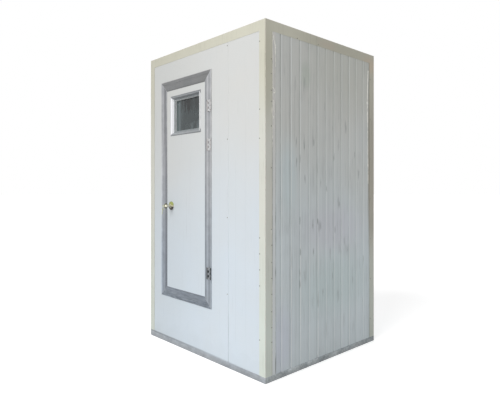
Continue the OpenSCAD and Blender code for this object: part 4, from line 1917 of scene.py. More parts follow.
@dataclass(frozen=True)
class Plan:
    """Places that the sub-assemblies share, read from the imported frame."""

    half_width: float
    half_depth: float
    height: float
    front: float
    leaf_low: Vector
    leaf_high: Vector
    opening_low: Vector
    opening_high: Vector
    window_low: Vector
    window_high: Vector
    glass_low: Vector
    glass_high: Vector
    knob: Vector
    hinge_axis: float

    @staticmethod
    def read(frame: dict) -> Plan:
        """Reads the plan from a loaded frame.


        Returns:
            The plan.
        """
        rail_low, rail_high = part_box("front_base_rail")
        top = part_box("front_roof_trim")[1]
        edging = [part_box(f"leaf_edging_{side}") for side in ("top", "bottom", "latch", "hinge")]
        sides = ("head", "sill", "latch_jamb", "hinge_jamb")
        jambs = [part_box(f"door_frame_{side}") for side in sides]
        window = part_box("window_frame")
        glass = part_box("window_glass")
        joints = {joint["name"]: Vector(joint["pos_m"]) for joint in frame["joints"]}
        return Plan(
            half_width=rail_high.x,
            half_depth=-rail_low.y,
            height=top.z,
            front=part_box("front_panel_end")[0].y,
            leaf_low=Vector(min(b[0][i] for b in edging) for i in range(3)),
            leaf_high=Vector(max(b[1][i] for b in edging) for i in range(3)),
            opening_low=Vector(min(b[0][i] for b in jambs) for i in range(3)),
            opening_high=Vector(max(b[1][i] for b in jambs) for i in range(3)),
            window_low=window[0],
            window_high=window[1],
            glass_low=glass[0],
            glass_high=glass[1],
            knob=joints["knob_turn"],
            hinge_axis=joints["door_swing"].x,
        )


# A bluish-grey band along the foot of the door wall and its trims, just above the base rail.
FOOT_BAND = Wash((-0.8, -0.66, 0.040), (1.7, 0.1, 0.020), srgb(128, 134, 140), 1.0)


@dataclass
class Walls:
    """Door wall, side walls, back wall and roof."""

    plan: Plan
    nodes: Nodes
    front_joint: float = 1.066
    side_joint: float = 0.100
    line_pitch: float = 0.100
    smudge_half: tuple[float, float] = (14 * MM, 62 * MM)
    stroke_half: tuple[float, float] = (7 * MM, 36 * MM)
    mark_depth: float = 0.05
    trim_edge: float = -0.5925
    # Smudges on the right wall: distance from the front corner, and down from the top
    smudges: tuple[tuple[float, float, float], ...] = (
        (0.300, 0.400, 0.5), (0.400, 0.390, 0.7), (0.400, 0.815, 0.7), (0.500, 0.780, 0.6),
        (0.550, 0.970, 0.5), (0.908, 0.650, 0.7), (0.815, 0.800, 0.5), (1.090, 1.025, 0.6),
        (0.815, 1.250, 0.6), (0.500, 1.400, 0.6), (0.575, 1.430, 0.7), (0.825, 1.610, 0.5),
        (0.930, 1.630, 0.6), (0.708, 1.650, 0.6), (0.408, 1.780, 0.7), (0.560, 1.980, 0.7),
        (0.808, 1.980, 0.6), (0.500, 1.980, 0.4),
    )
    # Thin strokes on the right wall, given in the same way
    strokes: tuple[tuple[float, float, float], ...] = (
        (0.312, 0.806, 0.7), (0.403, 0.830, 0.9), (0.508, 0.799, 0.7), (0.744, 0.673, 0.6),
        (0.913, 0.645, 0.9), (0.317, 0.950, 0.8), (0.357, 0.923, 0.6), (0.409, 1.073, 0.7),
        (0.593, 1.102, 0.6), (0.664, 1.140, 0.7), (0.824, 1.258, 1.0), (1.094, 1.022, 0.8),
        (1.036, 0.866, 0.6), (0.500, 1.412, 0.9), (0.557, 1.390, 1.0), (0.593, 1.417, 0.7),
        (0.353, 1.374, 0.6), (0.770, 1.459, 0.7), (0.748, 1.529, 0.6), (0.891, 1.553, 0.7),
        (0.936, 1.623, 0.8), (0.846, 1.642, 0.6), (0.504, 1.610, 0.7), (0.357, 1.596, 0.9),
        (1.162, 1.741, 0.7), (0.350, 1.752, 0.9), (0.353, 1.824, 0.8), (0.738, 1.826, 0.6),
        (0.640, 0.520, 0.5), (0.760, 0.900, 0.5), (0.620, 1.930, 0.7), (1.010, 1.880, 0.6),
    )
    # Open stretches of the right wall's joint: lowest, highest point and strength
    joint_slits: tuple[tuple[float, float, float], ...] = (
        (0.045, 0.175, 1.0), (0.70, 0.76, 1.0), (0.94, 0.99, 0.9),
        (1.06, 1.18, 0.8), (1.34, 1.37, 1.0), (1.765, 1.795, 1.0),
    )
    side_washes: tuple[Wash, ...] = (
        Wash((0.724, -0.50, 0.25), (0.2, 0.16, 0.35), srgb(206, 209, 228), 0.4),
        Wash((0.724, -0.43, 1.38), (0.2, 0.14, 0.40), srgb(208, 223, 226), 0.55),
        Wash((0.724, 0.10, 1.00), (0.2, 0.55, 0.26), srgb(213, 213, 224), 0.5),
        Wash((0.724, 0.12, 0.56), (0.2, 0.65, 0.34), srgb(202, 219, 219), 0.6),
        Wash((0.724, -0.24, 2.14), (0.2, 0.08, 0.14), srgb(192, 204, 190), 0.5),
        Wash((0.724, 0.30, 2.30), (0.2, 0.75, 0.55), srgb(196, 197, 185), 0.45),
        Wash((0.724, 0.588, 1.55), (0.2, 0.024, 1.0), srgb(160, 150, 132), 0.8),
    )
    # Faint lines on the door wall: distance from its left end, strength, low and high
    front_lines: tuple[tuple[float, float, float, float], ...] = (
        (1.145, 0.07, 0.2, 1.5),
        (1.250, 0.05, 0.3, 1.9),
        (0.965, 0.04, 0.2, 2.2),
        (0.900, 0.04, 0.9, 2.2),
    )
    # Faint lines on the leaf, given in the same way
    leaf_lines: tuple[tuple[float, float, float, float], ...] = (
        (0.408, 0.08, 1.05, 1.45),
        (0.500, 0.06, 0.8, 1.15),
        (0.541, 0.10, 0.9, 1.3),
        (0.583, 0.08, 1.0, 1.4),
        (0.600, 0.06, 0.7, 1.1),
    )

    def front_finish(self) -> SheetPaint:
        """Gives the door wall's finish, with a dark panel joint.

        Returns:
            The finish.
        """
        left = -self.plan.half_width
        joint = left + self.front_joint
        lines = [
            Line(Axis.X, joint, 3 * MM, 0.6, 0.0, 0.41),
            Line(Axis.X, joint, 3 * MM, 0.16, 0.38, 1.0),
        ]
        lines += [Line(Axis.X, left + x, 4 * MM, s, a, b) for x, s, a, b in self.front_lines]
        return SheetPaint(
            "door_wall_paint",
            runs=0.08,
            floor_dirt=0.08,
            darkenings=(Darkening(Axis.X, -0.8, 0.5, 0.26),),
            lines=tuple(lines),
            washes=(FOOT_BAND,),
        )

    def leaf_finish(self) -> SheetPaint:
        """Gives the door leaf's finish, with faint upright lines.

        Returns:
            The finish.
        """
        left = -self.plan.half_width
        lines = [Line(Axis.X, left + x, 3 * MM, s, a, b) for x, s, a, b in self.leaf_lines]
        return SheetPaint(
            "leaf_paint",
            runs=0.12,
            floor_dirt=0.0,
            darkenings=(Darkening(Axis.X, -0.8, 0.5, 0.26),),
            lines=tuple(lines),
        )

    def side_finish(self) -> SheetPaint:
        """Gives the right wall's finish, with its smudges and panel joint.

        Returns:
            The finish.
        """
        near, top = -self.plan.half_depth, self.plan.height
        joint = near + self.side_joint
        marks = [
            Mark((self.plan.half_width, near + y, top - z), (self.mark_depth, *half), s * level)
            for places, half, level in (
                (self.smudges, self.smudge_half, 0.42),
                (self.strokes, self.stroke_half, 0.6),
            )
            for y, z, s in places
        ]
        return SheetPaint(
            "side_wall_paint",
            srgb(215, 216, 211),
            srgb(218, 229, 234),
            srgb(212, 218, 219),
            runs=0.2,
            run_cover=0.6,
            banding=0.12,
            floor_dirt=0.05,
            darkenings=(Darkening(Axis.Y, 0.0, -0.62, 0.05),),
            # the pressed lines carry painted shade and painted highlight on their flanks
            grooves=(Grooves(Axis.Y, joint + self.line_pitch / 2 + 4 * MM),),
            slit=srgb(44, 46, 50),
            lines=(
                *(Line(Axis.Y, joint, 5 * MM, s, a, b) for a, b, s in self.joint_slits),
                Line(Axis.Y, joint, 3.5 * MM, 0.5, 0.2, 1.9),
            ),
            marks=tuple(marks),
            washes=self.side_washes,
        )

    def strip_finish(self) -> SheetPaint:
        """Gives the finish of the narrow strips beside the corner trims.

        Returns:
            The finish.
        """
        joint = self.side_joint - self.plan.half_depth
        return SheetPaint(
            "wall_strip_paint",
            srgb(223, 221, 216),
            srgb(224, 230, 233),
            srgb(214, 216, 214),
            runs=0.12,
            floor_dirt=0.05,
            slit=srgb(78, 78, 82),
            lines=(
                Line(Axis.Y, self.trim_edge, 7 * MM, 1.0, 0.68, 1.70),
                Line(Axis.Y, self.trim_edge, 5 * MM, 0.5, 1.7, 2.2),
                Line(Axis.Y, self.trim_edge + 11 * MM, 3 * MM, 0.8, 2.24, 2.37),
                Line(Axis.Y, self.trim_edge + 23 * MM, 3 * MM, 0.5, 1.95, 2.26),
                *(Line(Axis.Y, joint, 6 * MM, s, a, b) for a, b, s in self.joint_slits),
                Line(Axis.Y, joint, 4 * MM, 0.5, 0.2, 1.9),
            ),
        )

    def rear_finish(self) -> SheetPaint:
        """Gives the finish of the back wall and the left wall.

        Returns:
            The finish.
        """
        return SheetPaint(
            "rear_wall_paint",
            runs=0.2,
            run_cover=0.5,
            banding=0.1,
        )

    def roof_finish(self) -> SheetPaint:
        """Gives the roof's finish, with the dust of dried puddles.

        Returns:
            The finish.
        """
        dust = srgb(178, 176, 166)
        return SheetPaint(
            "roof_paint",
            srgb(214, 214, 210),
            srgb(214, 214, 210),
            srgb(196, 198, 194),
            runs=0.0,
            patching=0.6,
            washes=(
                Wash((-0.25, 0.20, 2.45), (0.50, 0.34, 0.5), dust, 0.5),
                Wash((0.36, -0.22, 2.45), (0.30, 0.26, 0.5), dust, 0.4),
                Wash((0.10, 0.48, 2.45), (0.60, 0.12, 0.5), dust, 0.4),
            ),
        )

    def build(self) -> None:
        """Dresses the panels."""
        parts = ("latch_side", "hinge_side", "over_door", "under_door", "end")
        dress(self.nodes, [f"front_panel_{part}" for part in parts], self.front_finish())
        dress(self.nodes, ["leaf_panel"], self.leaf_finish())
        dress(self.nodes, ["right_wall_panel"], self.side_finish())
        dress(self.nodes, ["right_wall_strip", "left_wall_strip"], self.strip_finish())
        rear = ["back_panel_wide", "back_panel_narrow", "left_wall_panel"]
        dress(self.nodes, rear, self.rear_finish())
        dress(self.nodes, ["roof_panel_wide", "roof_panel_narrow"], self.roof_finish())


@dataclass
class Trims:
    """Corner and roof trims with their rivets."""

    plan: Plan
    nodes: Nodes
    leg_side: float = 67 * MM
    drop: float = 72 * MM
    rivet_radius: float = 4 * MM
    rivet_rise: float = 1.5 * MM
    dome_inset: float = 1.0 * MM
    dome_rise: float = 0.3 * MM
    hole_inset: float = 1.4 * MM
    hole_bevel: float = 0.3 * MM
    hole_depth: float = 0.8 * MM
    rim_bevel: float = 0.5 * MM
    front_inset: float = 55.5 * MM
    side_inset: float = 56 * MM
    # The lower rivets of the right wall stand a little further back
    lower_from: float = 1.5
    lower_shift: float = 4 * MM
    joint_place: float = 0.330
    far_heights: tuple[float, ...] = tuple(0.2 + 0.34 * i for i in range(7))
    # Places along Y of the roof trim's rivets, and how far down from the top
    roof_rivets: tuple[tuple[float, float], ...] = ((-0.338, 66 * MM), (-0.10, 60 * MM))
    # Distances of rivets down from the top
    front_rivets: tuple[float, ...] = (0.142, 0.603, 0.800, 1.475, 1.583, 1.692, 1.800, 2.167)
    joint_rivets: tuple[float, ...] = (0.097, 0.780, 1.353, 1.913)
    side_rivets: tuple[float, ...] = (
        0.263, 0.362, 0.475, 0.550, 0.717, 1.000, 1.417,
        1.525, 1.642, 1.750, 1.858, 1.975, 2.083, 2.183,
    )

    def paint(self) -> TrimPaint:
        """Gives the trims' finish.

        Returns:
            The finish.
        """
        corner = (self.plan.half_width, self.plan.half_depth, self.plan.height)
        near, far, side = -self.plan.half_depth, self.plan.half_depth, self.plan.half_width
        washes = (
            FOOT_BAND,
            Wash((side, near + 0.02, 2.1), (0.02, 0.09, 0.5), srgb(186, 184, 164), 0.5),
            Wash((side, near + 0.05, 1.1), (0.02, 0.05, 0.7), srgb(210, 206, 194), 0.2),
            Wash((side, far - 0.03, 1.45), (0.02, 0.09, 0.95), srgb(160, 153, 136), 0.7),
            Wash((side, far - 0.03, 1.00), (0.02, 0.09, 0.16), srgb(150, 146, 132), 0.35),
            Wash((side, far - 0.06, 2.36), (0.02, 0.16, 0.10), srgb(206, 184, 160), 0.5),
            Wash((side, 0.02, 2.41), (0.02, 0.16, 0.05), srgb(206, 190, 174), 0.35),
            Wash((side, 0.20, 2.41), (0.02, 0.95, 0.06), srgb(136, 132, 112), 0.12),
            Wash((side, near + 0.06, 1.84), (0.02, 0.012, 0.03), srgb(240, 238, 226), 0.6),
            Wash((side, near + 0.06, 1.02), (0.02, 0.012, 0.03), srgb(236, 236, 230), 0.5),
        )
        return TrimPaint(
            "trim_paint",
            Tone.CREAM_UPPER,
            Tone.CREAM_MIDDLE,
            Tone.CREAM_LOWER,
            corner,
            self.leg_side,
            self.drop,
            washes=washes,
        )

    def rivet(self) -> Piece:
        """Models one blind rivet: a domed head with its mandrel hole.

        Returns:
            The rivet, at the origin.
        """
        head = Bench.disc("rivet", self.rivet_radius, self.rivet_rise, 14)
        Bench.faces(head, lambda centre, normal: normal.z > 0.9)
        bpy.ops.mesh.inset(thickness=self.dome_inset, depth=0)
        bpy.ops.transform.translate(value=(0, 0, self.dome_rise))
        bpy.ops.mesh.inset(thickness=self.hole_inset, depth=0)
        bpy.ops.mesh.inset(thickness=self.hole_bevel, depth=-self.hole_depth)
        bpy.ops.object.mode_set(mode="OBJECT")
        rim = self.rivet_radius - 0.2 * MM

        def on_rim(a: Vector, b: Vector) -> bool:
            """Says whether an edge is on the head's outer rim."""
            return min(a.z, b.z) > 1.4 * MM and min(a.xy.length, b.xy.length) > rim

        Bench.round_edges(head, on_rim, self.rim_bevel, 2)
        return head

    def rows(self) -> dict[str, list[Matrix]]:
        """Gives the places of the rivets, row by row.

        Returns:
            Where each rivet stands, under its row's name.
        """
        width, depth, top = self.plan.half_width, self.plan.half_depth, self.plan.height
        front_out, back_out = (0, -1, 0), (0, 1, 0)
        right_out, left_out = (1, 0, 0), (-1, 0, 0)
        column = width - self.front_inset
        near, far = self.side_inset - depth, depth - self.side_inset
        shifts = [self.lower_shift if z > self.lower_from else 0 for z in self.side_rivets]
        rows = {
            "rivets_front_right_corner": [
                facing((column, -depth, top - z), front_out) for z in self.front_rivets
            ],
            "rivets_front_joint": [
                facing((self.joint_place, self.plan.front, top - z), front_out)
                for z in self.joint_rivets
            ],
            "rivets_right_wall_near": [
                facing((width, near + shift, top - z), right_out)
                for z, shift in zip(self.side_rivets, shifts)
            ],
            "rivets_left_wall_near": [
                facing((-width, near, top - z), left_out) for z in self.side_rivets[::2]
            ],
            "rivets_right_roof_trim": [
                facing((width, y, top - drop), right_out) for y, drop in self.roof_rivets
            ],
        }
        for name, side, out in (("right", 1, right_out), ("left", -1, left_out)):
            rows[f"rivets_{name}_wall_far"] = [
                facing((side * width, far, z), out) for z in self.far_heights
            ]
            rows[f"rivets_back_{name}_corner"] = [
                facing((side * column, depth, z), back_out) for z in self.far_heights
            ]
        return rows

    def rivets(self) -> None:
        """Sets the rows of rivets."""
        master = self.rivet()
        worn = PlatedSteel("rivet_metal", srgb(150, 150, 142), rusted=0.35)
        for name, places in self.rows().items():
            Bench.hand_over(Bench.copies(master, name, places), worn, "trim", "cabin")
        Bench.scrap(master)

    def build(self) -> None:
        """Dresses the trims and adds what is on them."""
        corners = [f"corner_trim_{a}_{b}" for a in ("front", "back") for b in ("left", "right")]
        roof = [f"{side}_roof_trim" for side in ("front", "back", "left", "right")]
        dress(self.nodes, corners + roof, self.paint())
        self.rivets()


@dataclass
class Bead:
    """A run of silicone laid by hand along a chain of places, of uneven thickness.

    The places are (distance from the wall's near corner, distance down from its top).
    Its thickness is drawn as a share of the radius, and now and then it swells to a blob.
    """

    name: str
    places: tuple[tuple[float, float], ...]
    radius: float = 2.4 * MM
    waver: float = 1.0 * MM
    step: float = 14 * MM
    seed: int = 1
    flat: float = 0.62
    thickness: tuple[float, float] = (0.65, 1.3)
    blob_chance: float = 0.08
    blob_growth: float = 1.6
    end_thickness: float = 0.8

    def path(self, corner: Vector) -> list[tuple[Vector, float]]:
        """Gives the path's points, each with its thickness.

        Args:
            corner: The wall's near top corner.

        Returns:
            Points with their thickness.
        """
        draw = random.Random(self.seed)
        points: list[tuple[Vector, float]] = []
        stops = [corner + Vector((0.0, y, -drop)) for y, drop in self.places]
        for start, end in zip(stops, stops[1:]):
            across = (end - start).normalized().cross(Vector((1.0, 0.0, 0.0)))
            count = max(1, round((end - start).length / self.step))
            for i in range(count):
                thick = draw.uniform(*self.thickness)
                thick *= self.blob_growth if draw.random() < self.blob_chance else 1.0
                offset = across * draw.uniform(-1, 1) * self.waver
                points.append((start + (end - start) * (i / count) + offset, thick))
        points.append((stops[-1], self.end_thickness))
        return points

    def build(self, corner: Vector) -> Piece:
        """Models the bead as a swept tube, pressed flat on the wall.

        Args:
            corner: The wall's near top corner.

        Returns:
            The bead's mesh object.
        """
        Bench.clear()
        data = bpy.data.curves.new(self.name, "CURVE")
        data.dimensions = "3D"
        data.bevel_depth = self.radius
        data.bevel_resolution = 2
        data.use_fill_caps = True
        data.resolution_u = 2
        spline = data.splines.new("BEZIER")
        points = self.path(corner)
        spline.bezier_points.add(len(points) - 1)
        for knot, (place, thick) in zip(spline.bezier_points, points):
            knot.co = place
            knot.radius = thick
            knot.handle_left_type = knot.handle_right_type = "AUTO"
        curve = bpy.data.objects.new(self.name, data)
        bpy.context.scene.collection.objects.link(curve)
        Bench.take(curve)
        bpy.ops.object.convert(target="MESH")
        bead = bpy.context.object
        press = Matrix.Diagonal((self.flat, 1.0, 1.0, 1.0))
        bead.data.transform(Matrix.Translation(corner) @ press @ Matrix.Translation(-corner))
        return bead


@dataclass
class Sealant:
    """The silicone along the corner trims and the panel joint of the right wall."""

    plan: Plan
    sunk: float = 1.0 * MM

    def beads(self) -> list[Bead]:
        """Lists the beads.

        Returns:
            The beads.
        """
        return [
            Bead("bead_curl", (
                (0.068, 0.079), (0.074, 0.096), (0.085, 0.122), (0.095, 0.150), (0.098, 0.168),
                (0.092, 0.160), (0.081, 0.131), (0.072, 0.106), (0.070, 0.135), (0.069, 0.18),
            ), radius=3.2 * MM, step=30 * MM, seed=3),
            Bead("bead_near", ((0.0685, 0.18), (0.069, 0.46)), radius=2.8 * MM, seed=8),
            Bead("bead_joint_top", ((0.0975, 0.165), (0.0985, 0.31)), radius=2.6 * MM, seed=9),
            Bead("bead_hook", (
                (0.069, 0.452), (0.080, 0.458), (0.092, 0.470),
                (0.091, 0.486), (0.080, 0.490), (0.072, 0.480),
            ), radius=3.6 * MM, step=30 * MM, seed=11),
            Bead("bead_near_middle", ((0.069, 0.49), (0.0685, 0.86)), radius=2.5 * MM, seed=13),
            Bead("bead_strand", (
                (0.073, 0.535), (0.082, 0.555), (0.079, 0.585), (0.088, 0.618),
            ), radius=3.0 * MM, step=30 * MM, seed=12),
            Bead("bead_drop_upper", (
                (0.069, 0.642), (0.079, 0.652), (0.074, 0.666),
            ), radius=3.0 * MM, seed=14),
            Bead("bead_drop_lower", (
                (0.069, 0.712), (0.075, 0.720), (0.070, 0.732),
            ), radius=2.6 * MM, seed=15),
            Bead("bead_near_low", ((0.0685, 1.80), (0.0685, 2.39)), radius=1.7 * MM, seed=4),
            Bead("bead_strip", (
                (0.085, 1.02), (0.084, 1.50),
            ), radius=1.3 * MM, waver=0.6 * MM, seed=5),
            Bead("bead_far", (
                (1.234, 0.14), (1.228, 0.26), (1.222, 0.46), (1.228, 0.62),
            ), radius=5.5 * MM, waver=1.6 * MM, seed=6),
            Bead("bead_far_low", ((1.228, 0.62), (1.234, 1.10)), radius=4.0 * MM, seed=7),
        ]

    def build(self) -> None:
        """Lays the beads."""
        silicone = Moulded("silicone", srgb(255, 254, 246), srgb(216, 212, 198), 0.2, 0.35)
        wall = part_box("right_wall_panel")[1].x - self.sunk
        corner = Vector((wall, -self.plan.half_depth, self.plan.height))
        for bead in self.beads():
            Bench.hand_over(bead.build(corner), silicone, "trim", "cabin", 60.0)


@dataclass
class Base:
    """Base rails, floor frame and floor deck."""

    nodes: Nodes

    def build(self) -> None:
        """Dresses the rails and the floor."""
        # Front, back and side rails are one zinc; the side rails' lighter tones are painted light.
        faces = Galvanised("front_rail_zinc", srgb(190, 196, 202), srgb(152, 158, 166))
        dress(self.nodes, ["front_base_rail", "back_base_rail"], faces)
        sides = Galvanised(
            "side_rail_zinc", srgb(214, 221, 224), srgb(136, 146, 152), soiled=0.4, metallic=0.5
        )
        dress(self.nodes, ["left_base_rail", "right_base_rail"], sides)
        frame = Galvanised("floor_frame_zinc", srgb(176, 180, 184), srgb(140, 145, 150), soiled=0.1)
        dress(self.nodes, ["floor_frame"], frame)
        dress(self.nodes, ["floor_deck"], Board("deck_board", srgb(150, 152, 153)))


@dataclass
class Doorway:
    """The fixed door frame, the strips that cover its gap, and its seal."""

    plan: Plan
    nodes: Nodes
    face: float = 24 * MM
    stop_depth: float = 47 * MM
    seal_inset: float = 14 * MM
    seal_width: float = 4 * MM
    seal_thick: float = 2.6 * MM
    strip_wide: float = 4 * MM
    strip_deep: float = 12 * MM
    strip_sunk: float = 0.8 * MM

    def finishes(self) -> dict[str, Extrusion]:
        """Gives the finish of each member of the frame.

        Returns:
            The finishes, under the members' names.
        """
        low, high = self.plan.opening_low, self.plan.opening_high
        wide, tall = (low.x, high.x), (low.z, high.z)
        # Each member's tones are painted shade and highlight across its folds, its cool tint a
        # painted reflection lower down, and the latch jamb's bands painted shadow.
        members = (
            Extrusion("latch_jamb_metal", Axis.X, low.x, 1.0, tall, 0.2, (
                (0, (240, 241, 243)), (5, (215, 216, 219)), (10, (195, 196, 199)),
                (16, (188, 189, 192)), (26, (186, 187, 190)),
            ), lean=8, cool=(0.61, 0.69, 0.78, 1.0),
                shadow_bands=((9, 8, 1.68, 2.25), (12, 9, 1.7, 2.25))),
            Extrusion("hinge_jamb_metal", Axis.X, high.x, -1.0, tall, 0.5, (
                (0, (208, 209, 209)), (4, (184, 185, 187)), (9, (174, 175, 177)),
                (14, (169, 171, 174)), (20, (167, 168, 171)), (26, (158, 159, 162)),
            ), lean=-1.5, cool=(0.66, 0.73, 0.8, 1.0)),
            Extrusion("head_metal", Axis.Z, high.z, -1.0, wide, 0.5, (
                (0, (170, 170, 170)), (4, (124, 124, 124)), (26, (120, 121, 121)),
            )),
            Extrusion("sill_metal", Axis.Z, low.z, 1.0, wide, 0.3, (
                (0, (122, 127, 134)), (5, (129, 134, 140)), (26, (133, 137, 143)),
            ), scuffed=0.6),
        )
        return {member.name.removesuffix("_metal"): member for member in members}

    def gap_strips(self) -> None:
        """Adds the lipped strips that cover most of the gap round the leaf."""
        low, high = self.plan.opening_low, self.plan.opening_high
        inner_low = Vector((low.x + self.face, 0, low.z + self.face))
        inner_high = Vector((high.x - self.face, 0, high.z - self.face))
        front = low.y + self.strip_sunk
        back = front + self.strip_deep
        wide = self.strip_wide
        spans = {
            "latch_jamb": ((inner_low.x, inner_low.z), (inner_low.x + wide, inner_high.z)),
            "hinge_jamb": ((inner_high.x - wide, inner_low.z), (inner_high.x, inner_high.z)),
            "head": (
                (inner_low.x + wide, inner_high.z - wide), (inner_high.x - wide, inner_high.z)
            ),
            "sill": ((inner_low.x + wide, inner_low.z), (inner_high.x - wide, inner_low.z + wide)),
        }
        finishes = self.finishes()
        for name, (start, end) in spans.items():
            strip = Bench.cube(
                f"gap_strip_{name}", (start[0], front, start[1]), (end[0], back, end[1])
            )
            Bench.faces(strip, lambda centre, normal: normal.y < -0.9)
            bpy.ops.mesh.inset(thickness=0.9 * MM, depth=0.3 * MM)
            bpy.ops.object.mode_set(mode="OBJECT")
            Bench.soften(strip, 0.2 * MM)
            Bench.hand_over(strip, finishes[name], "door_metal", "cabin")

    def seal(self) -> None:
        """Adds the rubber seal on the stop, behind the leaf."""
        low, high = self.plan.opening_low, self.plan.opening_high
        inset = self.face + self.seal_inset
        back = self.plan.front + self.stop_depth
        ring = Bench.ring(
            "door_seal",
            (low.x + inset, back - self.seal_thick, low.z + inset),
            (high.x - inset, back, high.z - inset),
            self.seal_width,
            0.8 * MM,
        )
        rubber = Moulded("seal_rubber", Tone.RUBBER, srgb(96, 94, 90), 0.3, 0.55)
        Bench.hand_over(ring, rubber, "door_metal", "cabin")

    def build(self) -> None:
        """Dresses the frame, covers its gap and adds the seal."""
        for name, finish in self.finishes().items():
            dress(self.nodes, [f"door_frame_{name}"], finish)
        self.gap_strips()
        self.seal()


@dataclass
class Leaf:
    """The leaf's edging and its window."""

    plan: Plan
    nodes: Nodes
    ring_depth: float = 15.6 * MM
    gasket_inset: float = 37.6 * MM
    gasket_width: float = 2.4 * MM
    gasket_thick: float = 2.6 * MM

    def dress_edging(self) -> None:
        """Gives each member of the edging its tones."""
        low, high = self.plan.leaf_low, self.plan.leaf_high
        wide, tall = (low.x, high.x), (low.z, high.z)
        # Each member's tones are painted shade and highlight across its folds, its cool tint a
        # painted reflection lower down, and the latch band painted shadow.
        members = {
            "latch": Extrusion("edging_latch_metal", Axis.X, low.x, 1.0, tall, 0.1, (
                (0, (182, 183, 187)), (8, (174, 175, 179)), (15, (165, 166, 170)),
                (24, (156, 157, 161)), (30, (141, 142, 146)), (40, (134, 135, 139)),
                (47, (122, 123, 127)), (53, (106, 107, 111)), (58, (190, 191, 192)),
            ), lean=12, cool=(0.66, 0.73, 0.81, 1.0), shadow_bands=((20, 14, 1.68, 2.25),)),
            "hinge": Extrusion("edging_hinge_metal", Axis.X, high.x, -1.0, tall, 0.5, (
                (0, (172, 173, 176)), (6, (178, 179, 182)), (12, (186, 187, 190)),
                (18, (186, 187, 190)), (24, (178, 179, 182)), (29, (164, 165, 168)),
                (31, (147, 149, 152)), (36, (140, 142, 145)), (44, (150, 152, 155)),
                (53, (164, 166, 169)),
            ), cool=(0.73, 0.81, 0.89, 1.0)),
            "top": Extrusion("edging_top_metal", Axis.Z, high.z, -1.0, wide, 0.5, (
                (0, (120, 121, 121)), (42, (120, 121, 121)), (53, (96, 97, 98)),
            )),
            "bottom": Extrusion("edging_bottom_metal", Axis.Z, low.z, 1.0, wide, 0.3, (
                (0, (134, 138, 144)), (12, (131, 135, 141)), (29, (138, 141, 147)),
                (40, (134, 138, 144)), (46, (126, 130, 136)), (53, (118, 122, 128)),
            ), scuffed=0.45),
        }
        for name, metal in members.items():
            dress(self.nodes, [f"leaf_edging_{name}"], metal)

    def window(self) -> None:
        """Dresses the window and adds the gasket round its pane."""
        low, high = self.plan.window_low, self.plan.window_high
        middle = (low + high) / 2
        front = self.plan.front
        metal = WindowMetal(
            "window_metal", tuple(middle), (high.x - low.x) / 2, (high.z - low.z) / 2,
            front + self.ring_depth, self.plan.glass_high.y,
        )
        dress(self.nodes, ["window_frame", "window_bead"], metal)
        pane = DirtyGlass("pane", tuple(self.plan.glass_low), tuple(self.plan.glass_high))
        dress(self.nodes, ["window_glass"], pane)
        reach = self.gasket_inset
        gasket = Bench.ring(
            "window_gasket",
            (low.x + reach, self.plan.glass_low.y - self.gasket_thick, low.z + reach),
            (high.x - reach, self.plan.glass_low.y, high.z - reach),
            self.gasket_width,
            0.6 * MM,
        )
        # the pale wash on the gasket's left side is painted light
        left = (low.x + reach, self.plan.glass_low.y, middle.z)
        rubber = Moulded(
            "gasket_rubber", srgb(70, 76, 77), srgb(110, 116, 116), 0.3, 0.5,
            (Wash(left, (0.02, 0.05, 0.3), srgb(176, 184, 186), 1.0),),
        )
        Bench.hand_over(gasket, rubber, "window_metal", "door")

    def build(self) -> None:
        """Dresses the edging and the window."""
        self.dress_edging()
        self.window()


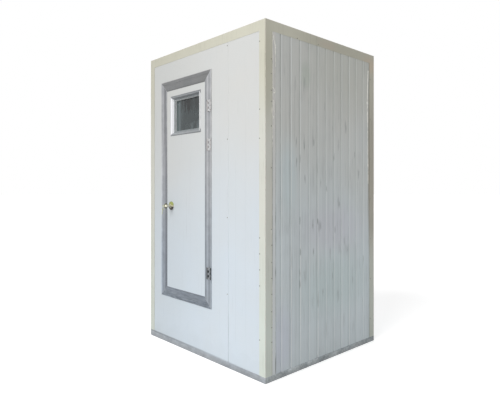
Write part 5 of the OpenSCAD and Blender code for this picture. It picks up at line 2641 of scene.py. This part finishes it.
@dataclass
class Hinges:
    """Three butt hinges with their screws."""

    plan: Plan
    nodes: Nodes
    screw_radius: float = 3.6 * MM
    screw_rise: float = 0.5 * MM
    recess_half: tuple[float, float] = (2.2 * MM, 0.35 * MM)
    recess_floor: float = 0.12 * MM
    plate_thick: float = 2.5 * MM
    # Screws of a plate: share of its height, and distance in from its outer side
    screws: tuple[tuple[float, float], ...] = ((0.14, 8 * MM), (0.5, 12.5 * MM), (0.86, 8 * MM))

    def screw(self) -> Piece:
        """Models one countersunk screw head with a cross recess.

        Returns:
            The screw, at the origin.
        """
        head = Bench.disc("screw", self.screw_radius, self.screw_rise, 16)
        Bench.round_edges(head, lambda a, b: min(a.z, b.z) > 0.4 * MM, 0.25 * MM, 2)
        long, short = self.recess_half
        for turn in (0.0, math.pi / 2):
            slot = Bench.cube("slot", (-long, -short, self.recess_floor), (long, short, 1.0 * MM))
            slot.data.transform(Matrix.Rotation(turn, 4, "Z"))
            Bench.carve(head, slot)
        return head

    def spans(self, node: str) -> list[tuple[float, float]]:
        """Gives the lowest and highest point of each plate of a node.

        Args:
            node: Name of the node.

        Returns:
            The two heights of each plate, from the lowest plate up.
        """
        heights = sorted({round(v.co.z, 4) for v in self.nodes[node].data.vertices})
        groups: list[list[float]] = [[heights[0]]]
        for z in heights[1:]:
            if z - groups[-1][-1] > 0.1:
                groups.append([])
            groups[-1].append(z)
        return [(group[0], group[-1]) for group in groups]

    def places(self, node: str) -> list[Matrix]:
        """Gives three screws on each plate of a node.

        Args:
            node: The node that holds the three plates.

        Returns:
            Where the screws stand.
        """
        low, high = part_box(node)
        outside = low.x if "leaf" in node else high.x
        inward = 1 if "leaf" in node else -1
        plate_face = high.y - self.plate_thick
        result = []
        for bottom, top in self.spans(node):
            for share, step in self.screws:
                place = (outside + inward * step, plate_face, bottom + share * (top - bottom))
                result.append(facing(place, (0, -1, 0)))
        return result

    def build(self) -> None:
        """Dresses the hinges and sets their screws."""
        middles = tuple((low + high) / 2 for low, high in self.spans("hinge_frame_plates"))
        plates = HingeSteel("hinge_plates", self.plan.hinge_axis, middles)
        knuckles = PlatedSteel("hinge_pin_metal", srgb(214, 214, 210), rusted=0.25)
        dress(self.nodes, ["hinge_frame_plates", "hinge_leaf_plates"], plates)
        dress(self.nodes, ["hinge_pins"], knuckles)
        master = self.screw()
        heads = PlatedSteel("screw_metal", srgb(150, 150, 148), rusted=0.4, low_until=1.0)
        for node, body in (("hinge_frame_plates", "cabin"), ("hinge_leaf_plates", "door")):
            row = Bench.copies(master, node.replace("plates", "screws"), self.places(node))
            Bench.hand_over(row, heads, "hinge_steel", body)
        Bench.scrap(master)


@dataclass
class Lock:
    """Rosettes, knobs, keys and the plate of the latch."""

    plan: Plan
    nodes: Nodes
    plug_radius: float = 7.5 * MM
    plug_thick: float = 0.7 * MM
    button_radius: float = 5.5 * MM
    button_reach: float = 3.0 * MM
    plate_width: float = 22 * MM
    plate_height: float = 150 * MM
    plate_thick: float = 1.2 * MM
    plate_corner: float = 4 * MM
    opening: tuple[float, float] = (20 * MM, 12 * MM)
    opening_floor: float = 0.3 * MM
    grip_half: tuple[float, float] = (4.2 * MM, 1.1 * MM)
    grip_top: float = 6.5 * MM

    def dress_brass(self) -> None:
        """Gives rosettes, knobs and keys their brasses."""
        middle = tuple(self.plan.knob)
        # The lit belts and disc, the rosette's yellow-green top and its dark bottom are painted
        # highlight, reflection and shade.
        rosette = Brass(
            "rosette_brass", srgb(218, 214, 190), srgb(92, 90, 76), 0.25, middle=middle,
            belt=6 * MM, disc=14 * MM, above=srgb(164, 172, 98), below=srgb(66, 60, 60),
        )
        knob = Brass(
            "knob_brass", srgb(232, 228, 210), srgb(84, 84, 66), 0.25, middle=middle, belt=8 * MM,
        )
        key = Brass("key_brass", srgb(222, 225, 202), srgb(160, 156, 116), 0.3, roughness=0.3)
        dress(self.nodes, ["lock_case"], rosette)
        dress(self.nodes, ["knobs"], knob)
        dress(self.nodes, ["keys"], key)

    def plug(self) -> None:
        """Adds the face of the lock cylinder in the outer knob."""
        plug = Bench.disc("lock_plug", self.plug_radius, self.plug_thick, 28)
        Bench.faces(plug, lambda centre, normal: normal.z > 0.9)
        bpy.ops.mesh.inset(thickness=1.2 * MM, depth=0)
        bpy.ops.mesh.inset(thickness=0.3 * MM, depth=-0.35 * MM)
        bpy.ops.object.mode_set(mode="OBJECT")
        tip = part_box("knobs")[0].y
        plug.data.transform(facing((self.plan.knob.x, tip, self.plan.knob.z), (0, -1, 0)))
        steel = PlatedSteel("plug_metal", srgb(176, 174, 160), rusted=0.15)
        Bench.hand_over(plug, steel, "brass", "knob_set")

    def button(self) -> None:
        """Adds the turn button in the inner knob."""
        button = Bench.disc("turn_button", self.button_radius, self.button_reach, 24)
        Bench.faces(button, lambda centre, normal: normal.z > 0.9)
        bpy.ops.mesh.inset(thickness=0.8 * MM, depth=0.4 * MM)
        bpy.ops.object.mode_set(mode="OBJECT")
        Bench.soften(button, 0.3 * MM)
        x, y = self.grip_half
        grip = Bench.cube("grip", (-x, -y, self.button_reach), (x, y, self.grip_top))
        Bench.soften(grip, 0.6 * MM, 3)
        Bench.join([button, grip])
        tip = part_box("knobs")[1].y
        button.data.transform(facing((self.plan.knob.x, tip, self.plan.knob.z), (0, 1, 0)))
        brass = Brass("button_brass", srgb(214, 204, 160), srgb(96, 92, 70), tarnish=0.4)
        Bench.hand_over(button, brass, "brass", "knob_set")

    def plate(self) -> Piece:
        """Models the rounded plate of the latch with its opening, facing +Z.

        Returns:
            The plate.
        """
        half_x, half_y = self.plate_height / 2, self.plate_width / 2
        plate = Bench.cube("latch_plate", (-half_x, -half_y, 0), (half_x, half_y, self.plate_thick))
        Bench.round_edges(
            plate, lambda a, b: abs(a.z - b.z) > self.plate_thick / 2, self.plate_corner, 4
        )
        cut_x, cut_y = self.opening[0] / 2, self.opening[1] / 2
        cut = Bench.cube("cut", (-cut_x, -cut_y, self.opening_floor), (cut_x, cut_y, 5 * MM))
        Bench.carve(plate, cut)
        Bench.soften(plate, 0.25 * MM)
        return plate

    def latch(self) -> None:
        """Sets the latch's plate in the leaf's edge."""
        steel = PlatedSteel("latch_plate_metal", srgb(176, 176, 166), rusted=0.3)
        low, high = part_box("leaf_panel")
        plate = self.plate()
        stand = Matrix.Rotation(-math.pi / 2, 4, "Y")
        place = (self.plan.leaf_low.x, (low.y + high.y) / 2, self.plan.knob.z)
        plate.data.transform(Matrix.Translation(place) @ stand)
        Bench.hand_over(plate, steel, "brass", "door")

    def build(self) -> None:
        """Dresses the lock and adds its small pieces."""
        self.dress_brass()
        self.plug()
        self.button()
        self.latch()


def main() -> None:
    """Builds the studio and the cabin."""
    logging.basicConfig(level=logging.INFO, format="%(name)s: %(message)s")
    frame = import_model()
    nodes = frame["nodes"]
    Studio().build()
    plan = Plan.read(frame)
    Walls(plan, nodes).build()
    Trims(plan, nodes).build()
    Sealant(plan).build()
    Base(nodes).build()
    Doorway(plan, nodes).build()
    Leaf(plan, nodes).build()
    Hinges(plan, nodes).build()
    Lock(plan, nodes).build()


if __name__ == "__main__":
    main()
